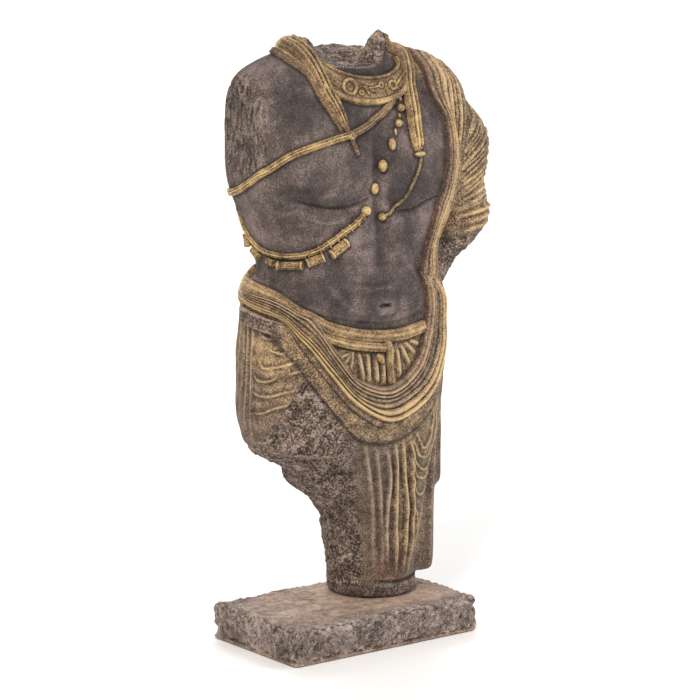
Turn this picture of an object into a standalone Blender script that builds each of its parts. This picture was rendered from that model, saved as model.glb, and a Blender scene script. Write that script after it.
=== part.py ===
"""Broken torso of a draped warrior on a rectangular plinth, cast in stone-finished resin.

Metres, +Z up, the figure looks along -Y and its own left side is +X.
The origin is on the plinth's underside, at the middle of its rectangle.
Run with: blender --background --python part.py
"""

import math

import bmesh
import bpy
import numpy as np
from mathutils import Matrix, Vector, noise
from mathutils.bvhtree import BVHTree

# Plinth, in metres
PLINTH_WIDTH = 0.267
PLINTH_DEPTH = 0.166
PLINTH_HEIGHT = 0.044
PLINTH_EDGE = 0.005
PLINTH_WEAR = 0.0016
PLINTH_WEAR_GRAIN = 0.021
PLINTH_CUTS = (9, 6, 2)
SEAT_DEPTH = 0.002
SEAT_CLEARANCE = 0.001
CONTACT_GAP = 0.0003

# Figure, in metres
FIGURE_HEIGHT = 0.662

# The figure is carved in its own unit, a 662nd of its height. Its pose, proportions and
# carving are shares of that height, so every number from here on is in this unit.
HEIGHT_SHARES = 662
UNIT = FIGURE_HEIGHT / HEIGHT_SHARES

FOOT = (54, 22)
FOOT_RADIUS = 52
FOOT_THICKNESS = 14

RING_POINTS = 80
RING_STEP = 6
BODY_GRID = 3.0
CARVING_GRID = 2.3
BODY_SMOOTHING = 10
CARVING_SMOOTHING = 2
FIGURE_TRIANGLES = 9200

# Upright axes that carving is laid out around, as x, y
TRUNK_AXIS = (0, 6)
LEG_AXIS = (54, 20)
ARM_AXIS = (146, -2)

# A station is: place, centre, centre, half width, half depth one way and the other, squareness
HIPS_AND_LEG = (
    (0, *FOOT, FOOT_RADIUS, FOOT_RADIUS, FOOT_RADIUS, 2.0),
    (FOOT_THICKNESS, *FOOT, FOOT_RADIUS, FOOT_RADIUS, FOOT_RADIUS, 2.0),
    (24, 52, 22, 51, 50, 47, 2.1),
    (60, 52, 22, 55, 53, 49, 2.2),
    (90, 51, 22, 58, 57, 52, 2.2),
    (107, 48, 20, 64, 60, 54, 2.2),
    (125, 38, 18, 75, 62, 57, 2.2),
    (143, 27, 15, 88, 64, 62, 2.3),
    (160, 23, 12, 91, 66, 66, 2.3),
    (178, 7, 9, 109, 70, 68, 2.4),
    (196, -2, 7, 122, 74, 70, 2.4),
    (213, -4, 6, 126, 77, 72, 2.4),
    (260, -3, 6, 127, 80, 74, 2.4),
    (300, -2, 6, 127, 78, 76, 2.4),
    (330, -1, 6, 126, 76, 72, 2.4),
    (352, 1, 6, 128, 76, 68, 2.4),
    (364, 0, 6, 129, 73, 66, 2.4),
    (378, 0, 6, 125, 66, 63, 2.4),
    (391, 0, 6, 117, 62, 58, 2.4),
)
TRUNK = (
    (300, 0, 6, 122, 74, 70, 2.4),
    (360, 1, 5, 120, 76, 60, 2.4),
    (388, 3, 4, 115, 73, 56, 2.4),
    (405, 3, 4, 115, 70, 56, 2.5),
    (423, 2, 4, 119, 68, 58, 2.6),
    (440, 2, 5, 122, 67, 61, 3.0),
    (457, 2, 5, 126, 67, 64, 3.2),
    (474, 1, 6, 132, 68, 66, 3.5),
    (509, 1, 7, 134, 69, 68, 3.8),
    (543, 1, 8, 134, 66, 68, 3.6),
    (575, 1, 9, 134, 58, 62, 3.0),
    (596, 2, 10, 126, 48, 52, 2.6),
    (615, 4, 11, 100, 40, 42, 2.3),
    (640, 7, 12, 50, 30, 34, 2.0),
)
NECK = (
    (590, 6, 10, 66, 50, 50, 2.0),
    (610, 6, 10, 52, 46, 46, 2.0),
    (625, 7, 10, 47, 42, 44, 2.0),
    (664, 8, 10, 46, 40, 46, 2.0),
)
LEFT_ARM = (
    (358, 102, -12, 18, 18, 20, 2.2),
    (372, 107, -12, 24, 22, 26, 2.2),
    (385, 114, -11, 25, 28, 32, 2.2),
    (398, 122, -10, 29, 32, 36, 2.2),
    (410, 134, -8, 35, 35, 39, 2.3),
    (421, 144, -6, 42, 36, 40, 2.3),
    (474, 147, -3, 42, 37, 42, 2.3),
    (543, 147, 0, 41, 40, 46, 2.3),
    (562, 138, 2, 35, 36, 40, 2.2),
    (574, 128, 4, 30, 32, 34, 2.1),
)
SIDE_CLOTH = (
    (19, 99, 12, 30, 24, 27, 3.0),
    (24, 99, 12, 31, 24, 27, 2.8),
    (60, 99, 12, 31, 24, 27, 2.6),
    (150, 100, 12, 31, 26, 29, 2.6),
    (230, 97, 12, 32, 30, 32, 2.6),
)
HIP_CLOTH = (
    (121, 109, 16, 36, 24, 30, 3.0),
    (126, 109, 16, 36, 25, 31, 2.8),
    (200, 109, 15, 35, 26, 32, 2.6),
    (300, 104, 12, 34, 30, 34, 2.6),
    (340, 96, 10, 30, 28, 32, 2.6),
)
# The shoulders run along X, so their centres are y and z
RIGHT_SHOULDER = (
    (-138, 8, 541, 36, 62, 72, 3.4),
    (-130, 8, 543, 41, 68, 79, 3.0),
    (-110, 8, 545, 46, 76, 88, 2.6),
    (-85, 9, 548, 50, 78, 93, 2.3),
    (-55, 9, 550, 50, 80, 96, 2.2),
    (-20, 9, 552, 50, 80, 98, 2.2),
)
LEFT_SHOULDER = (
    (-20, 9, 552, 50, 80, 98, 2.2),
    (55, 9, 550, 50, 80, 90, 2.2),
    (90, 8, 548, 51, 80, 82, 2.3),
    (115, 7, 545, 50, 80, 75, 2.3),
    (140, 6, 540, 46, 74, 65, 2.3),
    (158, 5, 530, 36, 60, 52, 2.3),
    (169, 5, 522, 22, 42, 40, 2.2),
)

# Cloth that stands off the body. Each edge is drawn as turn in degrees from the front,
# positive to the figure's own left, and height.
SWAG_INNER = (
    (-101, 376), (-74, 370), (-56, 348), (-42, 311), (-25, 276), (0, 265), (26, 282), (40, 317),
    (42, 388),
)
SWAG_OUTER = (
    (-97, 360), (-74, 350), (-61, 315), (-46, 274), (-27, 236), (7, 213), (40, 229), (64, 280), (64, 372),
)
FRINGE_EDGE = (
    (-84, 340), (-66, 305), (-52, 265), (-39, 232), (-25, 206), (2, 196), (28, 201), (48, 222), (62, 262),
)
SHAWL_INNER = (
    (97, 634), (80, 630), (66, 604), (63, 557), (59, 520), (56, 483), (51, 432), (44, 399), (42, 376),
)
SHAWL_OUTER = (
    (101, 612), (82, 606), (76, 585), (72, 557), (71, 520), (70, 483), (67, 450), (59, 424), (56, 400),
    (60, 372),
)
BACK_UPPER = (
    (104, 628), (120, 614), (138, 588), (155, 548), (175, 500), (195, 462), (215, 428), (237, 402),
    (261, 382),
)
BACK_LOWER = (
    (104, 520), (120, 486), (138, 450), (155, 422), (175, 400), (195, 386), (215, 376), (237, 366),
    (263, 356),
)
COLLAR_TOP = (
    (-66, 632), (-60, 628), (-48, 620), (-30, 614), (-3, 610), (26, 609), (47, 611), (59, 618),
    (66, 628),
)
COLLAR_LOW = (
    (-58, 606), (-50, 599), (-41, 593), (-27, 587), (-3, 583), (21, 583), (37, 586), (48, 591),
    (58, 601),
)
# Its rounded folds, as place from its first edge (0) to its last (1), half width and rise
SWAG_FOLDS = (
    (0.06, 0.055, 4.5), (0.15, 0.04, 6.5), (0.25, 0.045, 5), (0.37, 0.06, 3.6), (0.49, 0.05, 5),
    (0.61, 0.055, 6.5), (0.74, 0.06, 6.8), (0.9, 0.1, 3.2),
)
SHAWL_FOLDS = (
    (0.1, 0.1, 3.5), (0.26, 0.05, 4.5), (0.38, 0.06, 5.5), (0.52, 0.07, 5), (0.66, 0.055, 4),
    (0.79, 0.06, 4.5), (0.93, 0.07, 3),
)
BACK_FOLDS = (
    (0.05, 0.05, 4), (0.15, 0.045, 3), (0.27, 0.07, 4.5), (0.4, 0.05, 3), (0.52, 0.06, 4.2),
    (0.65, 0.06, 3.2), (0.77, 0.05, 4), (0.9, 0.08, 3),
)
# Broken knobbly stretch below the cloth at the right hip
HIP_LUMP = (((-102, 356), (-86, 352), (-71, 344)), ((-100, 338), (-86, 335), (-74, 330)))
SWAG_LIFT = 3.2
SHAWL_LIFT = 3.6
BACK_LIFT = 2.5
FRINGE_LIFT = 2.2
LUMP_LIFT = 6.5
COLLAR_LIFT = 3
COLLAR_EDGE_WIDTH = 3.6
COLLAR_EDGE_THICKNESS = 4.6
COLLAR_RIM_WIDTH = 7
COLLAR_RIM_THICKNESS = 6
PANEL_DEPTH = 4
STRAP_GROOVE = 0.3
PANEL_STEPS = (90, 60)

# Ribbons, as x, y, z near the surface that they lie on, and their widths and thicknesses along them
RIGHT_LAPPET = (
    (-30, 46, 640), (-44, 40, 648), (-60, 26, 650), (-69, 6, 644), (-67, -9, 636), (-64, -22, 627),
    (-60, -29, 614), (-54, -35, 598), (-49, -43, 584), (-44, -50, 569), (-41, -54, 560),
)
RIGHT_LAPPET_TAIL = ((-42, -52, 562), (-37, -56, 551), (-33, -59, 538), (-30, -60, 527))
LEFT_LAPPET = (
    (42, -6, 655), (52, -8, 651), (61, -10, 644), (68, -12, 632), (66, -25, 616), (62, -35, 598),
    (58, -46, 577), (55, -55, 554), (54, -59, 534), (53, -60, 524),
)
SHOULDER_STRAND = (
    (-86, 22, 640), (-90, 2, 639), (-88, -12, 634), (-82, -21, 628), (-73, -28, 620), (-66, -33, 606),
)
RIGHT_LAPPET_WIDTHS = (26, 27, 26, 24, 21, 18, 13)
RIGHT_LAPPET_THICKNESSES = (12, 16, 12, 10, 8, 7, 4)
TAIL_WIDTHS = (7, 5, 5, 4)
TAIL_THICKNESSES = (3.5, 3, 3, 2.5)
LEFT_LAPPET_WIDTHS = (12, 14, 16, 17, 18, 17, 13)
LEFT_LAPPET_THICKNESSES = (7, 9, 9, 8, 8, 8, 7)
STRAND_WIDTHS = (9, 11, 11, 9, 6)
STRAND_THICKNESSES = (6, 8, 7, 6, 4)
LAPPET_CROSSING = (-36, -57, 549)
CROSSING_RADII = (5.5, 3.4, 4.4)
LAPPET_KNOB = (53, -61, 521)
LAPPET_KNOB_RADII = (6.5, 5, 3)
KNOT_LIFT = 3
LAPPET_ROOT = ((-58, 27, 641), (17, 14, 15))

# Lines that are laid around the trunk, as turn and height
BALDRIC = (
    (34, 584), (16, 572), (-3, 562), (-16, 556), (-29, 551), (-43, 547), (-61, 536), (-75, 515),
    (-85, 500), (-97, 487), (-128, 484), (-160, 510), (-200, 556),
)
SIDE_CORD = ((38, 519), (34, 501), (32, 489), (29, 476), (25, 467), (19, 462), (8, 456))
CHAIN = (
    (-17, 461), (-28, 449), (-38, 440), (-46, 432), (-53, 425), (-61, 420), (-71, 418), (-79, 419),
    (-88, 422),
    (-95, 429), (-102, 440), (-112, 464), (-128, 484),
)
WAISTBAND = ((-101, 381), (-78, 374), (-60, 352), (-47, 337), (-35, 330), (-8, 322), (16, 320), (44, 325))
BELT_ROPE = ((-56, 334), (-48, 327), (-35, 318), (-21, 313), (0, 308))
KNOT = (3, 310)
KNOT_TAIL = ((2, 313), (5, 304), (5, 290), (7, 266))
BALDRIC_WIDTH = 8.4
BALDRIC_THICKNESS = 4.4
SIDE_CORD_WIDTH = 3.6
SIDE_CORD_THICKNESS = 2.4
CHAIN_WIDTH = 6.4
CHAIN_THICKNESS = 3.4
WAISTBAND_WIDTH = 14
WAISTBAND_THICKNESS = 6.5
BELT_WIDTHS = (8, 10, 11, 11, 10)
BELT_THICKNESSES = (6, 8, 9, 9, 8)
KNOT_RADII = (5, 6, 6.5)
KNOT_TAIL_WIDTHS = (10, 9, 10, 9)
KNOT_TAIL_THICKNESSES = (9, 7, 6, 5)
# Beads as turn, height, half width and half height
BEADS = (
    (41, 584, 1.8, 3.2), (36, 574, 4.2, 4.4), (32, 566, 1.6, 3), (28, 558, 4.2, 4.4), (23, 549, 1.4, 4.2),
    (16, 536, 4, 6.6), (6, 513, 5, 6.8), (-4, 488, 4.6, 6.2), (-16, 464, 5.4, 5.4), (6, 455, 4.4, 4.4),
)
# Amulet cases as turn, height, half length, radius and tilt in degrees
AMULETS = (
    (-41, 425, 12, 5.8, 32), (-55, 414, 10, 5.4, 18), (-69, 408, 15, 4.8, 2), (-81, 410, 4.5, 4.2, -10),
    (-93, 417, 7, 4.4, -30), (-101, 430, 7, 4.4, -60),
)

# Creases and low ridges of the body, as line in turn and height, half width and rise
CREASES = (
    (((-66, 520), (-63, 492), (-54, 475), (-40, 470), (-24, 475), (-10, 486)), 9, -5.5),
    (((14, 480), (22, 464), (35, 460), (52, 468)), 8, -4.5),
    (((4, 570), (0, 520), (0, 476), (2, 430), (2, 397), (3, 366)), 8, -4),
    (((-60, 352), (-39, 341), (-12, 333), (22, 332), (40, 340)), 5, -4),
    (((-35, 446), (-42, 410), (-50, 372)), 10, -2.8),
    (((34, 446), (38, 410), (40, 376)), 8, -2.5),
    (((-3, 356), (8, 355)), 3.5, -4.5),
    (((-178, 600), (-179, 560), (-180, 520)), 10, -4),
    (((-172, 500), (-176, 450), (-178, 410)), 14, -4),
    (((-120, 540), (-134, 520), (-150, 512)), 12, -2.5),
)
# Soft swellings, as centre, spread and rise
MOUNDS = (
    ((-70, -52, 512), (42, 26, 28), 8),
    ((52, -54, 508), (34, 26, 28), 7),
    ((-26, -62, 436), (20, 20, 24), 3.5),
    ((24, -62, 436), (20, 20, 24), 3.5),
    ((0, -70, 380), (46, 26, 22), 3),
    ((-62, 70, 556), (34, 26, 36), 6),
)
# Ridges of the cloth over the broken thigh, as turn and height around the trunk
THIGH_RIDGES = (
    ((-84, 331), (-80, 325), (-75, 325), (-70, 329)),
    ((-80, 345), (-76, 340), (-71, 340), (-68, 345)),
    ((-77, 312), (-71, 309), (-64, 316)),
    ((-84, 299), (-79, 291), (-74, 293), (-67, 297), (-58, 307)),
    ((-87, 281), (-83, 276), (-78, 276), (-72, 282)),
    ((-67, 286), (-61, 290), (-56, 296)),
    ((-89, 263), (-84, 259), (-78, 259), (-70, 264), (-61, 270)),
    ((-87, 238), (-81, 239), (-74, 246), (-64, 253)),
    ((-86, 204), (-80, 205), (-74, 212)),
)
# Edge and recess under the broken thigh
THIGH_EDGE = ((-76, 197), (-60, 194), (-46, 186), (-37, 165))
THIGH_RECESS = ((-70, 181), (-56, 176), (-43, 164), (-34, 138))
# Folds down the standing leg, as turn and height around the leg
LEG_FOLDS = (
    ((-27, 186), (-22, 145), (-22, 111), (-20, 76), (-17, 40)),
    ((-22, 200), (-16, 155), (-11, 109), (-5, 64), (-2, 26)),
    ((-15, 200), (-7, 153), (5, 106), (11, 61), (12, 30)),
    ((-5, 196), (4, 150), (16, 104), (22, 70), (24, 26)),
)
WORN_LEG_FOLDS = (
    ((-36, 200), (-31, 135), (-29, 112), (-25, 77), (-24, 30)),
    ((-42, 206), (-40, 160), (-37, 110), (-36, 40)),
)
# Loops of cloth that hang between the leg and the side, as turn and height around the leg
HANGING_LOOPS = (
    ((-8, 198), (-2, 179), (10, 160), (27, 150), (42, 158), (46, 176), (42, 198), (36, 222)),
    ((-4, 196), (3, 182), (13, 169), (25, 166), (36, 176), (33, 196), (29, 218)),
    ((-1, 204), (6, 190), (16, 179), (22, 185), (22, 203), (22, 224)),
    ((-4, 174), (4, 157), (18, 142), (34, 139), (48, 146)),
    ((0, 153), (10, 136), (27, 119), (42, 122), (52, 132)),
    ((20, 104), (33, 87), (36, 74)),
    ((44, 104), (42, 82), (38, 66)),
)
FOOT_GROOVE = ((-34, 20), (0, 18), (40, 18), (70, 18))
PLEATS = (
    ((-25, 306), (-21, 273)), ((-17, 304), (-16, 271)), ((-10, 303), (-8, 269)), ((-2, 300), (-2, 268)),
    ((13, 306), (15, 272)), ((17, 308), (25, 285)), ((22, 310), (31, 296)), ((26, 312), (35, 306)),
)
# Half width and rise of each kind of line
RIDGE_SIZE = (2.6, 2.8)
EDGE_SIZE = (6, 3)
RECESS_SIZE = (10, -9)
LEG_FOLD_SIZE = (3.6, 5.2)
WORN_FOLD_SIZE = (3.6, 3.6)
LOOP_SIZE = (2.6, 3.2)
GROOVE_SIZE = (3, -3.5)
PLEAT_SIZE = (2.8, 4.5)
SKIRT_FOLD_SIZE = (5, 4.4)
SLEEVE_FOLD_SIZE = (3, 2.4)
SKIRT_FOLD_STEP = 10
BACK_LEG_FOLD_STEP = 18
# Sleeve folds: how many, and the height at their front, side and back with its step from fold to fold
SLEEVE_FOLDS = 8
SLEEVE_FRONT = (518, 10.4)
SLEEVE_SIDE = (582, 18)
SLEEVE_BACK = (566, 17)
LINE_FADE = 0.2
LINE_STEP = 0.4

# Breaks
NECK_CENTRE = (8, 10)
NECK_REACH = 60
NECK_RIM_FRONT = 621
NECK_RIM_RISE = 0.19
NECK_RIM_FROM = -35
NECK_SCOOP = 7
NECK_SCOOP_CENTRE = (6, 8)
NECK_SCOOP_SPREAD = 24
NECK_PEAKS = (((36, -7), 15, 24), ((52, -3), 15, 20), ((-34, 32), 14, 18), ((20, 34), 16, 4))
BREAK_LINE = (
    (-180, 205), (-100, 192), (-88, 196), (-80, 212), (-70, 240), (-63, 266), (-57, 288), (-46, 262),
    (-35, 214), (-24, 199), (0, 120),
)
BREAK_ROUGHNESS = 4.2
BREAK_GRAIN = 14
BREAK_EDGE = 5
LEG_BREAK_TURN = -46
LEG_BREAK_BACK = -150
LEG_BREAK_EDGE = 6
LEG_BREAK_TOP = 196
SHOULDER_CUT = -134
SHOULDER_CUT_FOOT = 500
SHOULDER_CUT_EDGE = 2
SHOULDER_ROUGHNESS_SHARE = 0.5
FLAT_BAND = 1.2

# Colours as red, green, blue
FIGURE_COLOUR = (0.13, 0.10, 0.075)
PLINTH_COLOUR = (0.24, 0.19, 0.155)
STONE_ROUGHNESS = 0.85


def curve(anchors, count):
    """Smooth line through anchors of any dimension, with evenly spaced points."""
    anchors = np.array(anchors, float)
    steps = np.linalg.norm(np.diff(anchors, axis=0), axis=1)
    along = np.concatenate([[0], np.cumsum(steps)])
    return hermite(along, anchors, np.linspace(0, along[-1], count))


def hermite(keys, values, places):
    """Cubic through the values at rising keys, read at the places."""
    slopes = np.gradient(values, keys, axis=0)
    index = np.clip(np.searchsorted(keys, places) - 1, 0, len(keys) - 2)
    width = (keys[index + 1] - keys[index])[:, None]
    t = (places - keys[index])[:, None] / width
    start = values[index] * (1 + 2 * t) * (1 - t) ** 2 + slopes[index] * width * t * (1 - t) ** 2
    end = values[index + 1] * t**2 * (3 - 2 * t) + slopes[index + 1] * width * t**2 * (t - 1)
    return start + end


def closed_grid(name, points):
    """Object from rows of points. Each row is closed on itself, and both ends are capped."""
    rows, columns, _ = points.shape
    faces = []
    for row in range(rows - 1):
        low, high = row * columns, (row + 1) * columns
        for column in range(columns):
            beside = (column + 1) % columns
            faces.append((low + column, low + beside, high + beside, high + column))
    faces.append(tuple(range(columns))[::-1])
    faces.append(tuple((rows - 1) * columns + column for column in range(columns)))
    mesh = bpy.data.meshes.new(name)
    mesh.from_pydata(points.reshape(-1, 3).tolist(), [], faces)
    shape = bmesh.new()
    shape.from_mesh(mesh)
    bmesh.ops.recalc_face_normals(shape, faces=shape.faces)
    shape.to_mesh(mesh)
    shape.free()
    piece = bpy.data.objects.new(name, mesh)
    bpy.context.scene.collection.objects.link(piece)
    return piece


def loft(name, stations, along="Z"):
    """Closed body through superellipse stations along Z or X."""
    stations = np.array(stations, float)
    length = stations[-1, 0] - stations[0, 0]
    places = np.linspace(stations[0, 0], stations[-1, 0], max(3, round(length / RING_STEP) + 1))
    rows = hermite(stations[:, 0], stations[:, 1:], places)
    turn = np.linspace(0, math.tau, RING_POINTS, endpoint=False)
    rings = []
    for place, (first, second, half, low, high, squareness) in zip(places, rows):
        across = np.sign(np.sin(turn)) * np.abs(np.sin(turn)) ** (2 / squareness)
        deep = -np.sign(np.cos(turn)) * np.abs(np.cos(turn)) ** (2 / squareness)
        reach = np.where(deep < 0, low, high)
        ring = np.stack([first + half * across, second + reach * deep, np.full(RING_POINTS, place)], 1)
        rings.append(ring[:, [2, 0, 1]] if along == "X" else ring)
    return closed_grid(name, np.array(rings))


def fuse(pieces, grid, smoothing):
    """One skin around overlapping pieces."""
    bpy.ops.object.select_all(action="DESELECT")
    for piece in pieces:
        piece.select_set(True)
    bpy.context.view_layer.objects.active = pieces[0]
    bpy.ops.object.join()
    body = pieces[0]
    skin = body.modifiers.new("One skin", "REMESH")
    skin.mode = "VOXEL"
    skin.voxel_size = grid
    soft = body.modifiers.new("Worn edges", "SMOOTH")
    soft.factor = 0.5
    soft.iterations = round(smoothing)
    return apply_modifiers(body)


def apply_modifiers(body):
    """Replaces the object's mesh by its evaluated one."""
    evaluated = body.evaluated_get(bpy.context.evaluated_depsgraph_get())
    mesh = bpy.data.meshes.new_from_object(evaluated)
    body.modifiers.clear()
    body.data = mesh
    return body


def surface_of(body):
    """Search tree of a body's faces."""
    mesh = body.data
    return BVHTree.FromPolygons([v.co for v in mesh.vertices], [p.vertices[:] for p in mesh.polygons])


def laid(surface, axis, places):
    """Points and outward directions where rays towards an upright axis meet the surface."""
    points = []
    normals = []
    for turn, height in places:
        angle = math.radians(turn)
        outward = Vector((math.sin(angle), -math.cos(angle), 0))
        foot = Vector((*axis, height))
        point, normal, _, _ = surface.ray_cast(foot + outward * 300, -outward)
        if point is None:
            point, normal, _, _ = surface.find_nearest(foot)
        points.append(point)
        normals.append(normal)
    return np.array(points), np.array(normals)


def rested(surface, places):
    """Nearest points of the surface, and its outward directions there."""
    found = [surface.find_nearest(Vector(place)) for place in places]
    return np.array([hit[0] for hit in found]), np.array([hit[1] for hit in found])


def evened(values, passes):
    """Averages a line or grid of vectors with its neighbours, and keeps its ends."""
    values = values.copy()
    for _ in range(passes):
        for axis in range(values.ndim - 1):
            rows = np.moveaxis(values, axis, 0)
            middle = (rows[:-2] + 2 * rows[1:-1] + rows[2:]) / 4
            rows[1:-1] = middle
    return values


def unit_rows(values):
    return values / np.maximum(np.linalg.norm(values, axis=-1, keepdims=True), 1e-9)


def end_fade(count, share):
    """Rises from 0 at both ends of a line to 1 within a share of its length."""
    place = np.linspace(0, 1, count)
    return np.sqrt(np.clip(np.minimum(place, 1 - place) / share, 0, 1))


def folded_panel(name, surface, near, far, folds, lift, fade=0.06, steps=PANEL_STEPS):
    """Cloth between two edges laid around the trunk, with rounded folds of uneven width along it."""
    along, across = steps
    first = curve(near, along)
    last = curve(far, along)
    share = np.linspace(0, 1, across)[None, :, None]
    places = first[:, None] * (1 - share) + last[:, None] * share
    points, normals = laid(surface, TRUNK_AXIS, places.reshape(-1, 2))
    points = evened(points.reshape(along, across, 3), 2)
    normals = unit_rows(evened(normals.reshape(along, across, 3), 6))
    rise = np.zeros(across)
    for centre, half, top in folds:
        away = (share[0, :, 0] - centre) / half
        rise = np.maximum(rise, top * np.sqrt(np.clip(1 - away**2, 0, 1)))
    height = (lift + rise)[None, :] * end_fade(along, fade)[:, None]
    upper = points + normals * height[..., None]
    lower = points - normals * PANEL_DEPTH
    return closed_grid(name, np.concatenate([upper, lower[:, ::-1]], 1))


def strap(name, points, normals, width, thickness, ridges=0, around=24, sink=3, fade=0.04):
    """Flat strap along a line on the body, with ridges. Its width and thickness may change on the way."""
    points = evened(points, 2)
    normals = unit_rows(evened(normals, 4))
    side = unit_rows(np.cross(normals, np.gradient(points, axis=0)))
    fade = end_fade(len(points), fade)[:, None]
    along = np.linspace(0, 1, len(points))
    width, thickness = (
        np.interp(along, np.linspace(0, 1, np.size(size)), np.atleast_1d(size))[:, None]
        for size in (width, thickness)
    )
    turn = np.linspace(0, math.tau, around, endpoint=False)[None, :]
    across = np.sign(np.cos(turn)) * np.abs(np.cos(turn)) ** 0.7 / 2
    up = np.sign(np.sin(turn)) * np.abs(np.sin(turn)) ** 0.7
    groove = 1 - STRAP_GROOVE * (1 - np.cos(math.tau * ridges * across)) / 2 if ridges else 1
    up = np.where(up > 0, up * groove * thickness, up * sink)
    rings = points[:, None] + side[:, None] * (across * width * (0.4 + 0.6 * fade))[..., None]
    rings = rings + normals[:, None] * (up * fade)[..., None]
    return closed_grid(name, rings)


def laid_strap(name, surface, places, width, thickness, ridges=0, count=80):
    """Strap along a line drawn around the trunk."""
    points, normals = laid(surface, TRUNK_AXIS, curve(places, count))
    return strap(name, points, normals, width, thickness, ridges)


def ribbon(name, surface, places, widths, thicknesses, ridges):
    """Strap along a line drawn in space beside the body."""
    points, normals = rested(surface, curve(places, 50))
    return strap(name, points, normals, widths, thicknesses, ridges, around=40)


def knob(name, place, outward, radii, tilt=0):
    """Rounded lump of three radii, across, outward and up, turned by its tilt as seen from outside."""
    bpy.ops.mesh.primitive_uv_sphere_add(segments=16, ring_count=10, radius=1)
    piece = bpy.context.object
    piece.name = name
    back = -Vector(outward).normalized()
    side = back.cross(Vector((0, 0, 1))).normalized()
    turned = Matrix((side, back, side.cross(back))).transposed().to_4x4()
    turned = turned @ Matrix.Rotation(-math.radians(tilt), 4, "Y")
    piece.data.transform(Matrix.Translation(place) @ turned @ Matrix.Diagonal((*radii, 1)))
    return piece


def body_shape():
    """Trunk, hips, the standing leg, what is left of the neck and arms, and the cloth behind."""
    pieces = [
        loft("Hips and leg", HIPS_AND_LEG),
        loft("Trunk", TRUNK),
        loft("Neck", NECK),
        loft("Left arm", LEFT_ARM),
        loft("Side cloth", SIDE_CLOTH),
        loft("Hip cloth", HIP_CLOTH),
        loft("Right shoulder", RIGHT_SHOULDER, "X"),
        loft("Left shoulder", LEFT_SHOULDER, "X"),
    ]
    return fuse(pieces, BODY_GRID, BODY_SMOOTHING)


def drapery(surface):
    """Swag below the belly, shawl over the left shoulder, and cloth across the back."""
    return [
        folded_panel("Swag", surface, SWAG_INNER, SWAG_OUTER, SWAG_FOLDS, SWAG_LIFT),
        folded_panel("Swag fringe", surface, SWAG_OUTER, FRINGE_EDGE, (), FRINGE_LIFT),
        folded_panel("Shawl", surface, SHAWL_INNER, SHAWL_OUTER, SHAWL_FOLDS, SHAWL_LIFT),
        folded_panel("Back cloth", surface, BACK_UPPER, BACK_LOWER, BACK_FOLDS, BACK_LIFT),
        folded_panel("Hip lump", surface, *HIP_LUMP, (), LUMP_LIFT, fade=0.16, steps=(30, 10)),
    ]


def ribbons(surface):
    """Ribbons that come over both shoulders, with the knots at their ends."""
    places, outward = rested(surface, [LAPPET_CROSSING, LAPPET_KNOB])
    return [
        knob("Right ribbon fold", LAPPET_ROOT[0], (-1, -1, 0), LAPPET_ROOT[1]),
        ribbon("Right ribbon", surface, RIGHT_LAPPET, RIGHT_LAPPET_WIDTHS, RIGHT_LAPPET_THICKNESSES, 4),
        ribbon("Right ribbon tail", surface, RIGHT_LAPPET_TAIL, TAIL_WIDTHS, TAIL_THICKNESSES, 2),
        ribbon("Left ribbon", surface, LEFT_LAPPET, LEFT_LAPPET_WIDTHS, LEFT_LAPPET_THICKNESSES, 3),
        ribbon("Shoulder ribbon", surface, SHOULDER_STRAND, STRAND_WIDTHS, STRAND_THICKNESSES, 2),
        knob("Ribbon crossing", places[0] + outward[0] * KNOT_LIFT, outward[0], CROSSING_RADII),
        knob("Left ribbon knot", places[1] + outward[1] * KNOT_LIFT, outward[1], LAPPET_KNOB_RADII),
    ]


def jewellery(surface):
    """Collar, baldric, bead string, chain and amulet cases."""
    pieces = [
        folded_panel("Collar", surface, COLLAR_TOP, COLLAR_LOW, (), COLLAR_LIFT, fade=0.02, steps=(50, 12)),
        laid_strap("Collar upper rim", surface, COLLAR_TOP, COLLAR_EDGE_WIDTH, COLLAR_EDGE_THICKNESS),
        laid_strap("Collar lower rim", surface, COLLAR_LOW, COLLAR_RIM_WIDTH, COLLAR_RIM_THICKNESS),
        laid_strap("Baldric", surface, BALDRIC, BALDRIC_WIDTH, BALDRIC_THICKNESS, ridges=3),
        laid_strap("Side cord", surface, SIDE_CORD, SIDE_CORD_WIDTH, SIDE_CORD_THICKNESS),
        laid_strap("Chain", surface, CHAIN, CHAIN_WIDTH, CHAIN_THICKNESS, ridges=2),
    ]
    for index, (turn, height, half_width, half_height) in enumerate(BEADS):
        places, normals = laid(surface, TRUNK_AXIS, [(turn, height)])
        centre = places[0] + normals[0] * half_width * 0.5
        radii = (half_width, half_width, half_height)
        pieces.append(knob("Bead %d" % (index + 1), centre, normals[0], radii))
    for index, (turn, height, half, radius, tilt) in enumerate(AMULETS):
        places, normals = laid(surface, TRUNK_AXIS, [(turn, height)])
        centre = places[0] + normals[0] * radius * 0.6
        level = (normals[0][0], normals[0][1], 0)
        pieces.append(knob("Amulet %d" % (index + 1), centre, level, (half, radius, radius), tilt))
    return pieces


def girdle(surface):
    """Waistband, rolled belt and its knot with a hanging tail."""
    places, normals = laid(surface, TRUNK_AXIS, [KNOT])
    return [
        laid_strap("Waistband", surface, WAISTBAND, WAISTBAND_WIDTH, WAISTBAND_THICKNESS, ridges=2),
        laid_strap("Belt", surface, BELT_ROPE, BELT_WIDTHS, BELT_THICKNESSES, ridges=2),
        laid_strap("Knot tail", surface, KNOT_TAIL, KNOT_TAIL_WIDTHS, KNOT_TAIL_THICKNESSES, 2, count=30),
        knob("Knot", places[0] + normals[0] * KNOT_LIFT, normals[0], KNOT_RADII),
    ]


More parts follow.
